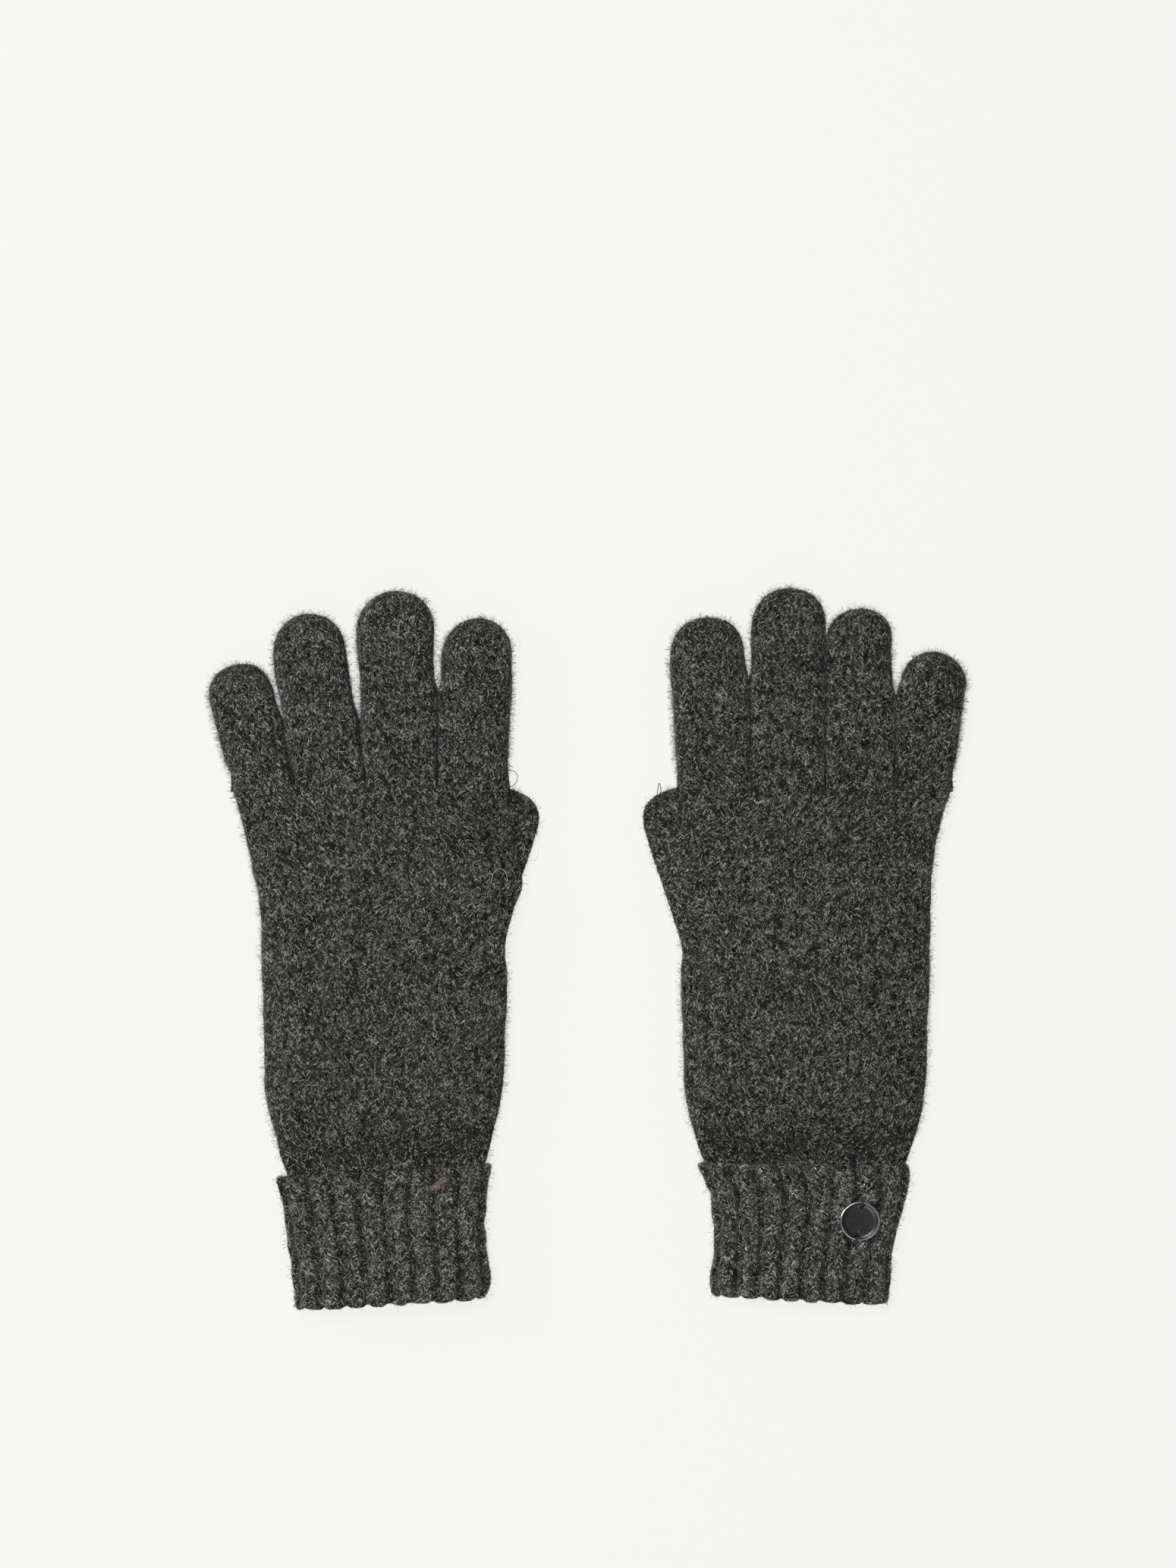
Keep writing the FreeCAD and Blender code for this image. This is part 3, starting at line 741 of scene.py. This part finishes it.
def finger_slice(glove, left, right):
    """The part of the hand's section between two walls, from its underside's middle round."""
    whole = hand_outline(glove, HAND_END)
    keep = (whole[:, 0] > left) & (whole[:, 0] < right)
    upper = whole[:, 1] > whole[:, 1].mean()
    top, under = whole[keep & upper], whole[keep & ~upper]
    top = top[np.argsort(-top[:, 0])]
    under = under[np.argsort(under[:, 0])]
    ring = np.concatenate((under, ((right, under[-1, 1]), (right, top[0, 1])), top,
                           ((left, top[-1, 1]), (left, under[0, 1]))))
    ring = np.roll(ring, -int(np.argmin(np.abs(under[:, 0] - (left + right) / 2))), axis=0)
    return np.concatenate((ring, ring[:1]))


def cap(distance, radius, square):
    """Half width at a rounded end, as a share, by how far past the end's centre it is."""
    past = np.clip(distance / radius, 0, 1)
    return (1 - past**square) ** (1 / square)


def even_run(course, *profile):
    """Distances along a profile that are even, a few to each course, and the profile there."""
    run = np.concatenate(((0,), np.cumsum(np.hypot(*(np.diff(values) for values in profile)))))
    wanted = np.linspace(0, run[-1], int(round(run[-1] / course * ALONG)) + 1)
    return wanted, *(np.interp(wanted, run, values) for values in profile)


def even_rows(length, radius, square, both_ends=False):
    """Distances along a tube with rounded ends, with even courses over the ends too, and courses."""
    fine = np.linspace(0, length, 2000)
    width = radius * cap(fine - (length - radius), radius, square)
    if both_ends:
        width = width * cap(radius - fine, radius, square)
    run, distances, _ = even_run(COURSE, fine, width)
    return distances, run / COURSE


class FingerLine:
    """Where one finger's centre line and edges run, all from the frame."""

    def __init__(self, glove, finger):
        base, tip = f"{glove}_{finger}_finger_base", f"{glove}_{finger}_finger_tip"
        knuckle = np.array(JOINTS[f"{glove}_{finger}_knuckle"]["pos_m"])
        self.fold = np.array(JOINTS[f"{glove}_{finger}_middle_joint"]["pos_m"])
        self.ahead = unit(self.fold[:2] - knuckle[:2])
        self.start = knuckle[:2] + self.ahead * (HAND_END - knuckle[1]) / self.ahead[1]
        left, right = frame_span(base, BOXES[base][0][1] + 1 * MM)
        shift, wider, longer, self.square = FINGER_EASE[glove][finger]
        self.start = self.start + np.array((shift * MM, 0))
        self.root_half = (right - left) / 2 + FINGER_SPREAD + wider * MM
        left, right = frame_span(tip, BOXES[tip][1][1] - 13 * MM)
        self.tip_half = (right - left) / 2 + FINGER_SPREAD / 2 + wider * MM
        self.end = BOXES[tip][1][1] + longer * MM
        self.cap_radius = self.tip_half * self.ahead[1]
        self.length = (self.end - self.cap_radius - HAND_END) / self.ahead[1] + self.cap_radius

    def edges(self, y):
        """Left and right edge at y, without the rounded end."""
        share = np.clip((y - HAND_END) / (self.end - self.cap_radius - HAND_END), 0, 1)
        half = mix(self.root_half, self.tip_half, share)
        centre = self.start[0] + (y - HAND_END) * self.ahead[0] / self.ahead[1]
        return centre - half, centre + half


def touching_edges(glove, number, y):
    """A finger's edges at y: next to the hand, it lies against its neighbours."""
    lines = LINES[glove]
    edges = list(lines[number].edges(y))
    for side, step in ((0, -1), (1, 1)):
        if 0 <= number + step < len(lines):
            limit = TOUCH[glove][min(number, number + step)]
            middle = (lines[number + step].edges(y)[1 - side] + edges[side]) / 2
            apart = smooth(y, limit - 5 * MM, limit + 4 * MM)
            edges[side] = mix(middle + step * TOUCH_OVERLAP, edges[side], apart)
    return edges


LINES = {glove: [FingerLine(glove, finger) for finger in FINGERS[glove]] for glove in FINGERS}


def make_finger(glove, number):
    """One finger from where it leaves the hand to its rounded tip, with the row where it splits."""
    line = LINES[glove][number]
    left, right = finger_walls(glove)[number]
    radius, ahead = line.cap_radius, line.ahead
    wales = int(round((2 * (line.root_half + line.tip_half) + FINGER_SIDES) / WALE))
    count = wales * ACROSS
    root = even_steps(finger_slice(glove, left, right), count)
    distances, courses = even_rows(line.length, radius, line.square)
    phases = np.random.default_rng(number + len(glove)).uniform(0, 2 * math.pi, 2)
    rows = []
    for distance in distances:
        rounding = max(cap(distance - (line.length - radius), radius, line.square), THINNEST)
        centre = line.start + ahead * distance
        reached = min(centre[1], line.end - radius)
        edges = touching_edges(glove, number, reached)
        shift = (reached - centre[1]) * ahead[0] / ahead[1]
        free = smooth(distance, 30 * MM, 45 * MM)
        sway = 0.35 * MM * math.sin(distance / (6.5 * MM) + phases[0]) * free
        swell = 1 + 0.02 * math.sin(distance / (4.5 * MM) + phases[1]) * free
        inner = (centre[0] + shift - edges[0]) * ahead[1] * rounding * swell
        outer = (edges[1] - centre[0] - shift) * ahead[1] * rounding * swell
        thick = (FINGER_TOP - HAND_LOW) / 2 * rounding**0.8
        middle = (FINGER_TOP + HAND_LOW) / 2 - 0.5 * MM * (1 - rounding)
        square = mix(TOUCHING_SQUARE[glove], FINGER_SQUARE, smooth(distance, 24 * MM, 44 * MM))
        ring = even_steps(oval(-inner, outer, middle - thick, middle + thick, square), count)
        turn = math.atan2(ahead[0], ahead[1]) * smooth(distance, 0, 16 * MM)
        grown = stacked(centre[0] + sway + ring[:, 0] * math.cos(turn),
                        centre[1] - ring[:, 0] * math.sin(turn), ring[:, 1])
        flat = stacked(root[:, 0], HAND_END + distance, root[:, 1])
        rows.append(mix(flat, grown, smooth(distance, 0, ROOT_MORPH)))
    tube = Tube(rows, wales, courses)
    if FINGERS[glove][number] == "index":
        lift_underside(glove, tube.points, *hand_heights(glove, HAND_END))
    tube.wales = tube.wales + round((hand_wale(glove, (left + right) / 2) - wales / 2) * 4) / 4
    tube.swell(17, 26 * MM, 0.7 * MM, smooth(tube.points[..., 1], HAND_END, HAND_END + CALM))
    tube.knit_plain()
    split_y = (ROOT_BLEND[1] + line.fold[1] - BEND_REACH) / 2
    return tube, int(np.argmin(np.abs(tube.points[:, count // 2, 1] - split_y)))


def hash_name(name):
    """A whole number that stands for a name, the same on every run."""
    return sum((place + 1) * ord(letter) for place, letter in enumerate(name))


def finger_walls(glove):
    """Left and right limit of each finger's slice of the hand, where the fingers begin."""
    spans = [line.edges(HAND_END) for line in LINES[glove]]
    left, right = hand_edges(glove, HAND_END)
    between = [(one[1] + other[0]) / 2 for one, other in zip(spans, spans[1:])]
    limits = [left - 1 * MM, *between, right + 1 * MM]
    return list(zip(limits, limits[1:]))


def make_thumb(glove):
    """The thumb, folded under the palm: a flat tube with two rounded ends."""
    low, high = BOXES[f"{glove}_thumb"]
    pivot = np.array(JOINTS[f"{glove}_thumb_swing"]["pos_m"])[:2]
    half = pivot[1] - low[1]
    far = np.array((high[0] - half if glove == "left" else low[0] + half, high[1] - half))
    ahead = unit(far - pivot)
    half = half - 0.1 * MM
    length = float(np.linalg.norm(far - pivot)) + 2 * half + THUMB_LONGER
    distances, courses = even_rows(length, half, THUMB_SQUARE, both_ends=True)
    middle, thick = (THUMB_TOP + HAND_LOW) / 2, (THUMB_TOP - HAND_LOW) / 2
    rows = []
    for distance in distances:
        rounding = cap(distance - (length - half), half, THUMB_SQUARE) * cap(half - distance, half, 2)
        rounding = max(rounding, THINNEST)
        width = half * rounding * (1 + THUMB_BULGE * math.sin(math.pi * distance / length))
        rise = thick * rounding**0.8
        ring = even_steps(oval(-width, width, middle - rise, middle + rise, 2.4), THUMB_WALES * ACROSS)
        centre = pivot + ahead * (distance - half)
        rows.append(stacked(centre[0] + ring[:, 0] * ahead[1], centre[1] - ring[:, 0] * ahead[0],
                            ring[:, 1]))
    tube = Tube(rows, THUMB_WALES, courses)
    tube.knit_plain()
    return tube


def cuff_edges(glove, y):
    node = f"{glove}_turned_up_cuff"
    low, high = BOXES[node]
    at = np.clip(y, low[1] + 4 * MM, high[1] - 2 * MM)
    return eased_span(node, at, y, CUFF_STATIONS, CUFF_EASE[glove])


def edge_rounding(distance, reach):
    """How far a flat tube's corners draw in near its edge, from 1 at the edge to 0."""
    near = 1 - np.clip(distance / reach, 0, 1)
    return 1 - math.sqrt(1 - near * near)


def make_turned_up_cuff(glove):
    """The ribbed cuff turned up over itself: up inside, over its top edge, down to the fold, back."""
    low, high = BOXES[f"{glove}_turned_up_cuff"]
    angle = np.linspace(0, math.pi, 13)
    lip_down = CUFF_WALL / 2 * (1 - np.sin(angle))
    lip_in = CUFF_WALL / 2 * (1 + np.cos(angle))
    down = np.concatenate(((7 * MM,), lip_down, CUFF_DEPTH - lip_down, (CUFF_DEPTH - 12 * MM,)))
    inward = np.concatenate(((CUFF_WALL,), lip_in, CUFF_WALL - lip_in, (CUFF_WALL,)))
    run, down, inward = even_run(RIB_COURSE, down, inward)
    lip_slope, lip_middle = LIP_LINE[glove]
    fold_slope, fold_middle = FOLD_LINE[glove]
    rows = []
    for depth, inset in zip(down, inward):
        share = depth / CUFF_DEPTH
        left, right = cuff_edges(glove, mix(high[1], low[1], share))
        crown = mix(CUFF_LIP, CUFF_TOP, smooth(depth, 0, 6 * MM))
        side = inset + edge_rounding(depth, 3 * MM) * 0.6 * MM
        side = side + edge_rounding(CUFF_DEPTH - depth, 5 * MM) * 2.2 * MM
        ring = oval(left + side, right - side, CUFF_LOW + inset, crown - inset, HAND_SQUARE)
        ring = even_steps(ring, RIB_WALES * RIB_ACROSS)[::-1]
        lean = mix(lip_slope, fold_slope, share) * (ring[:, 0] - (left + right) / 2)
        rows.append(stacked(ring[:, 0], mix(lip_middle, fold_middle, share) + lean, ring[:, 1]))
    tube = Tube(rows, RIB_WALES, run / RIB_COURSE)
    seed = SEEDS[glove]["cuff"]
    tube.wobble(seed, 11 * MM, 1.1 * MM, 35 * MM)
    tube.points[..., 1] += slow_waves(tube.points, seed + 5, 9 * MM) * 0.7 * MM
    tube.swell(seed + 9, 30 * MM, 0.5 * MM)
    tube.knit_rib(1 - np.clip(inward / CUFF_WALL, 0, 1)[:, None])
    at_fold = smooth(down, CUFF_DEPTH - 2 * MM, CUFF_DEPTH)[:, None]
    tube.points[..., 1] += (1 - rib_shape(tube.wales)) * SCALLOP * at_fold
    return tube


def make_inner_cuff(glove):
    """The cuff's inner layer, which shows when the turned-up part slides down."""
    low, high = BOXES[f"{glove}_inner_cuff"]
    slope, fold_middle = FOLD_LINE[glove]
    hem = fold_middle + 1.5 * MM
    steps = int(round((INNER_TOP - hem) / RIB_COURSE * INNER_ALONG))
    stations = np.linspace(hem, INNER_TOP, steps + 1)
    hand_left, hand_right = hand_edges(glove, INNER_TOP)
    rows = []
    for y in stations:
        flare = smooth(y, INNER_TOP - 14 * MM, INNER_TOP)
        left, right = mix(low[0], hand_left, flare), mix(high[0], hand_right, flare)
        ring = oval(left + INNER_INSET, right - INNER_INSET, INNER_LOW, INNER_HIGH, HAND_SQUARE)
        ring = even_steps(ring, RIB_WALES * INNER_ACROSS)
        lean = slope * (1 - smooth(y, hem, INNER_TOP)) * (ring[:, 0] - (left + right) / 2)
        rows.append(stacked(ring[:, 0], y + lean, ring[:, 1]))
    tube = Tube(rows, RIB_WALES, (stations - hem) / RIB_COURSE)
    tube.knit_rib(1.0, 0.5)
    return tube


def lathe(name, profile, centre, count, rim_from):
    """A closed metal solid of revolution from radius and height pairs, from its axis out and back."""
    turn = np.arange(count) * 2 * math.pi / count
    points = [stacked(centre[0] + radius * np.cos(turn), centre[1] + radius * np.sin(turn), height)
              for radius, height in profile[1:-1]]
    points += [[(centre[0], centre[1], height)] for _, height in (profile[0], profile[-1])]
    index = np.arange((len(profile) - 2) * count).reshape(-1, count)
    beyond = np.roll(index, -1, axis=1)
    faces = (stacked(index[:-1], beyond[:-1], beyond[1:], index[1:]),
             stacked(beyond[0], index[0], index.size), stacked(index[-1], beyond[-1], index.size + 1))
    sizes = np.repeat((4, 3), (faces[0].size // 4, 2 * count))
    radii = np.array([radius for radius, _ in profile[1:-1]])
    rim = np.append(np.repeat(np.maximum(radii[:-1], radii[1:]) > rim_from, count), np.zeros(2 * count))
    return mesh_object(name, np.concatenate(points), np.concatenate([part.ravel() for part in faces]),
                       sizes, [METAL_FACE, METAL_RIM], rim)


def thread_tube(path, radius, sides=8):
    """A round tube along a path of points, open at its sunk ends."""
    path = np.asarray(path)
    along = unit(np.gradient(path, axis=0))
    beside = unit(np.cross(along, np.array((0.31, 0.2, 0.93))))
    above = np.cross(beside, along)
    turn = np.linspace(0, 2 * math.pi, sides + 1)[None, :, None]
    return path[:, None] + radius * (beside[:, None] * np.cos(turn) + above[:, None] * np.sin(turn))


def tubes_object(name, tubes, material):
    """Round tubes of equally many points as one mesh."""
    tubes = np.array(tubes)
    faces = [grid(tubes.shape[1:3], number * tubes[0, ..., 0].size)[1] for number in range(len(tubes))]
    return mesh_object(name, tubes.reshape(-1, 3), np.concatenate(faces), 4, [material])


BADGE_SHIFT = mm(-0.5, 0.75, 0.0)
BADGE_FACE = 6.35 * MM  # the rim's finish begins here
BADGE_RIM = 0.56 * MM  # width of the rim
# The badge's profile: (out from its edge, up from its back), (out from its edge, up from its top),
# and (share of the face's radius, up from its top)
BADGE_BACK = ((-0.3, 0.0), (-0.06, 0.12), (0.0, 0.4))
BADGE_EDGE = ((0.0, -0.45), (-0.03, -0.32), (-0.17, -0.215), (-0.31, -0.125), (-0.44, -0.04),
              (-0.52, -0.04), (-0.6, -0.18), (-0.68, -0.3))
BADGE_DISH = ((0.75, -0.34), (0.5, -0.38), (0.25, -0.4), (0.0, -0.4))
BADGE_HOLE = 0.8 * MM
BADGE_HOLE_OUT = 5.45 * MM
BADGE_TURN = math.radians(-9)
STRANDS = mm(-0.30, 0.0, 0.30)  # how far beside each other the stitches lie
STRAND_SHARES = (0, 0.12, 0.3, 0.7, 0.86, 1)  # along a stitch
STRAND_RISES = mm(0.0, -0.2, 0.25, 0.3, -0.2, -0.9)  # its height there, from the back or from the top
PLY_RADIUS = 0.095 * MM
PLY_SWING = 0.07 * MM


def pierce(disc, at, low, high):
    """Cut a round hole through the disc."""
    cutter = lathe("cutter", ((0, low), (BADGE_HOLE, low), (BADGE_HOLE, high), (0, high)), at, 40, 0)
    cut = disc.modifiers.new("hole", "BOOLEAN")
    cut.object, cut.operation, cut.solver = cutter, "DIFFERENCE", "EXACT"
    bpy.context.view_layer.update()
    shaped = bpy.data.meshes.new_from_object(disc.evaluated_get(bpy.context.evaluated_depsgraph_get()))
    disc.modifiers.clear()
    disc.data = shaped
    bpy.data.objects.remove(cutter)


def badge_stitches(centre, outward, radius, bottom, top):
    """The two-ply stitches from one hole over the badge's edge."""
    beside = np.array((-outward[1], outward[0]))
    run = np.linspace(0, 1, 17)
    heights = STRAND_RISES + np.array((bottom, top, top, top, top, bottom))
    for strand, shift in enumerate(STRANDS):
        out = mix(BADGE_HOLE_OUT - 0.1 * MM, radius + (0.75 + 0.1 * strand) * MM, run)
        wander = shift * (0.7 + 0.5 * run) + 0.05 * MM * np.sin(run * 9 + strand)
        flat = centre[:2] + outward * out[:, None] + beside * wander[:, None]
        core = np.column_stack((flat, np.interp(run, STRAND_SHARES, heights)))
        for ply in (0, math.pi):
            twist = run * 26 + ply
            swing = stacked(beside[0] * np.cos(twist), beside[1] * np.cos(twist), np.sin(twist))
            yield thread_tube(core + swing * PLY_SWING, PLY_RADIUS)


def add_badge():
    """The round metal badge, plain-faced, and the stitches that hold it through its two holes."""
    low, high = BOXES["right_badge"]
    centre = (np.array(low) + np.array(high)) / 2 + BADGE_SHIFT
    radius = (high[0] - low[0]) / 2
    bottom, top = low[2], high[2]
    profile = [(0, bottom)]
    profile += [(radius + out * MM, bottom + up * MM) for out, up in BADGE_BACK]
    profile += [(radius + out * MM, top + up * MM) for out, up in BADGE_EDGE]
    profile += [((radius - BADGE_RIM) * share, top + up * MM) for share, up in BADGE_DISH]
    disc = lathe("right_badge_disc", profile, centre, 128, BADGE_FACE)
    turn = np.array((math.sin(-BADGE_TURN), math.cos(-BADGE_TURN)))
    strands = []
    for outward in (-turn, turn):
        pierce(disc, centre[:2] + outward * BADGE_HOLE_OUT, bottom - 1 * MM, top + 1 * MM)
        strands += badge_stitches(centre, outward, radius, bottom, top)
    place(disc, "gunmetal", ("right_badge",), ride="right_turned_up_cuff")
    thread = tubes_object("right_badge_stitches", strands, THREAD)
    place(thread, "sewing_thread", ("right_badge_thread",), ride="right_turned_up_cuff")


# ---- putting the pieces in place


def place(thing, slot, nodes, ride=None, bend=None):
    """Hang a finished piece from its body, or leave it fixed where it spans a bend, and hide the frame
    solids it stands for.
    """
    if bend:
        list(bend)
        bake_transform(thing)
    else:
        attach(thing, ride)
    if nodes:
        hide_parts(*nodes)


def knit_piece(name, piece, fabric, nodes, fuzz, ends=(False, False), ride=None, bend=None):
    """A fabric surface and the loose fibres over it, which move together."""
    material, slot = fabric
    fleck_density, fuzz_density, halo = fuzz
    place(fabric_object(name, piece, material, ends), slot, nodes, ride, bend)
    place(flecks_on(name, piece, fleck_density), slot, (), ride, bend)
    place(fuzz_on(name, piece, fuzz_density, halo), slot, (), ride, bend)


def add_hand(glove):
    tube = make_hand(glove)
    quarter = HAND_WALES * HAND_ACROSS // 4
    body = f"{glove}_hand"
    back = tube.part(columns=slice(quarter, 3 * quarter + 1))
    knit_piece(f"{glove}_back_of_hand", back, PLAIN, (body,), FUZZ, ride=body)
    for side, columns in (("a", slice(0, quarter + 1)), ("b", slice(3 * quarter, None))):
        knit_piece(f"{glove}_palm_{side}", tube.part(columns=columns), PLAIN, (), UNDER_FUZZ, ride=body)


def add_finger(glove, number):
    tube, split = make_finger(glove, number)
    line = LINES[glove][number]
    name = f"{glove}_{FINGERS[glove][number]}_finger"
    hand, base, tip = f"{glove}_hand", name + "_base", name + "_tip"
    across, height = line.fold[0], line.fold[2]
    root_bend = (hand, base, *((across, y, height) for y in ROOT_BLEND))
    knit_piece(name + "_root", tube.part(rows=slice(0, split + 1)), PLAIN, (base,), FUZZ, bend=root_bend)
    reach = np.append(line.ahead, 0) * BEND_REACH
    tip_bend = (base, tip, tuple(line.fold - reach), tuple(line.fold + reach))
    knit_piece(name + "_end", tube.part(rows=slice(split, None)), PLAIN, (tip,), FUZZ,
               ends=(False, True), bend=tip_bend)


def add_thumb(glove):
    body = f"{glove}_thumb"
    knit_piece(body + "_knit", make_thumb(glove).part(), PLAIN, (body,), FUZZ, ends=(True, True), ride=body)


def add_cuffs(glove):
    outer, inner = f"{glove}_turned_up_cuff", f"{glove}_inner_cuff"
    knit_piece(outer + "_rib", make_turned_up_cuff(glove).part(), RIB, (outer,), RIB_FUZZ, ride=outer)
    knit_piece(inner + "_rib", make_inner_cuff(glove).part(), RIB, (inner,), UNDER_FUZZ,
               ride=f"{glove}_hand")


# Name, what it hangs from, width in mm, which fibre, and points in mm
STRAY_LOOPS = (
    ("left_thumb_top", "left_thumb", 0.24, 1, (
        (-29.4, 61.6, 5.2), (-27.0, 62.5, 6.4), (-25.1, 61.6, 6.8), (-24.6, 59.8, 6.2), (-25.4, 57.8, 5.2),
        (-27.2, 56.8, 4.4),
    )),
    ("left_palm", "left_hand", 0.15, 3, (
        (-33.6, 23.4, 12.2), (-32.6, 27.0, 12.9), (-30.6, 28.4, 13.2), (-28.7, 27.3, 13.0),
        (-28.0, 23.8, 12.0),
    )),
    ("right_thumb_top", "right_thumb", 0.28, 0, (
        (24.1, 54.2, 4.6), (24.4, 56.2, 5.0), (24.9, 57.9, 5.2), (25.4, 56.4, 5.0), (25.2, 54.4, 4.4),
    )),
)
# A wisp of brown fibre caught under the left cuff's top edge: from where to where, and its fibres
TUFT = (mm(-54.8, -83.2, 12.9), mm(-48.2, -78.8, 13.1))
TUFT_COUNT = 46
TUFT_SPREAD = mm(0.75, 0.55, 0.12)
TUFT_BOW = 0.7 * MM
TUFT_RISE = 0.35 * MM
TUFT_WIDTH = 0.11 * MM


def stray_path(points, count=25):
    """A smooth curve near the given points, in millimetres."""
    points = np.array(points) * MM
    place = np.linspace(0, 1, len(points))
    fit = np.polyfit(place, points, min(4, len(points) - 1))
    return np.polyval(fit[:, None], np.linspace(0, 1, count)[:, None])


def add_stray_loops():
    """The few long loops of yarn that have worked right out of the fabric."""
    for name, body, width, shade, points in STRAY_LOOPS:
        tube = thread_tube(stray_path(points), width / 2 * MM, sides=6)
        loop = tubes_object(f"{name}_loop", [tube], FIBRES[shade])
        place(loop, "plain_knit", (), ride=body)


def add_tuft():
    rng = np.random.default_rng(5)
    shift = rng.normal(0, 1, (TUFT_COUNT, 2, 3)) * TUFT_SPREAD
    steps = np.linspace(0, 1, 7)[None, :, None]
    paths = mix(TUFT[0] + shift[:, :1], TUFT[1] + shift[:, 1:], steps)
    arch = np.sin(math.pi * steps[..., 0])
    paths[..., 1] += rng.normal(0, TUFT_BOW, (TUFT_COUNT, 1)) * arch
    paths[..., 2] += TUFT_RISE * arch
    sides = unit(rng.normal(0, 1, (TUFT_COUNT, 3)) * np.array((0.3, 1, 0.5)))
    shades = rng.choice(len(FIBRES), size=TUFT_COUNT, p=TUFT_SHARES)
    widths = TUFT_WIDTH * rng.uniform(0.6, 1.3, TUFT_COUNT)
    tuft = ribbons("left_cuff_tuft", paths, widths, sides, shades)
    place(tuft, "rib_knit", (), ride="left_turned_up_cuff")


for glove in ("left", "right"):
    add_hand(glove)
    add_thumb(glove)
    add_cuffs(glove)
    for number in range(4):
        add_finger(glove, number)
add_badge()
add_stray_loops()
add_tuft()


# ---- floor, light and camera


LENS = 85
SENSOR = 36
FRAME_HEIGHT = 0.5467
FRAME_CENTRE_Y = 0.0577
FLOOR_HALF = 3.0
FLOOR_GLOW = 0.835
SKY = 0.22
# Name, place, size and power
LIGHTS = (
    ("key", (-0.4, 0.6, 1.6), 0.7, 10.5),
    ("fill", (-0.3, -0.95, 1.35), 1.2, 6.5),
    ("side", (-1.43, 0.5, 0.75), 0.7, 7),
)


def add_floor():
    """A pale matt table. It is lit from within, so the gloves cast almost no shadow."""
    n = Nodes("pale_floor", {
        "Base Color": (0.12, 0.119, 0.117, 1), "Roughness": 0.9, "Specular IOR Level": 0.0,
        "Emission Color": (1.0, 0.992, 0.978, 1), "Emission Strength": FLOOR_GLOW,
    })
    corners = np.array(((-1, -1, 0), (1, -1, 0), (1, 1, 0), (-1, 1, 0))) * FLOOR_HALF
    mesh_object("floor", corners, (0, 1, 2, 3), 4, [n.material])


def add_light(name, place, size, power):
    """A round soft light, aimed at the middle of the gloves."""
    lamp = bpy.data.lights.new(name, "AREA")
    lamp.shape = "DISK"
    lamp.size = size
    lamp.energy = power
    light = bpy.data.objects.new(name, lamp)
    light.location = place
    light.rotation_euler = (-mathutils.Vector(place)).to_track_quat("-Z", "Y").to_euler()
    bpy.context.scene.collection.objects.link(light)


def add_world():
    world = bpy.data.worlds.new("studio")
    world.use_nodes = True
    inputs = world.node_tree.nodes["Background"].inputs
    inputs["Color"].default_value = (1, 1, 1, 1)
    inputs["Strength"].default_value = SKY
    bpy.context.scene.world = world


def add_camera():
    """Straight above the gloves, framed as a tall catalogue picture."""
    data = bpy.data.cameras.new("camera")
    data.lens = LENS
    data.sensor_width = SENSOR
    data.clip_end = 20
    camera = bpy.data.objects.new("camera", data)
    camera.location = (0, FRAME_CENTRE_Y, FRAME_HEIGHT / SENSOR * LENS + CUFF_TOP / 2)
    bpy.context.scene.collection.objects.link(camera)
    bpy.context.scene.camera = camera


add_floor()
add_world()
for light in LIGHTS:
    add_light(*light)
add_camera()
bpy.context.scene.view_settings.view_transform = "Standard"

bpy.context.view_layer.update()
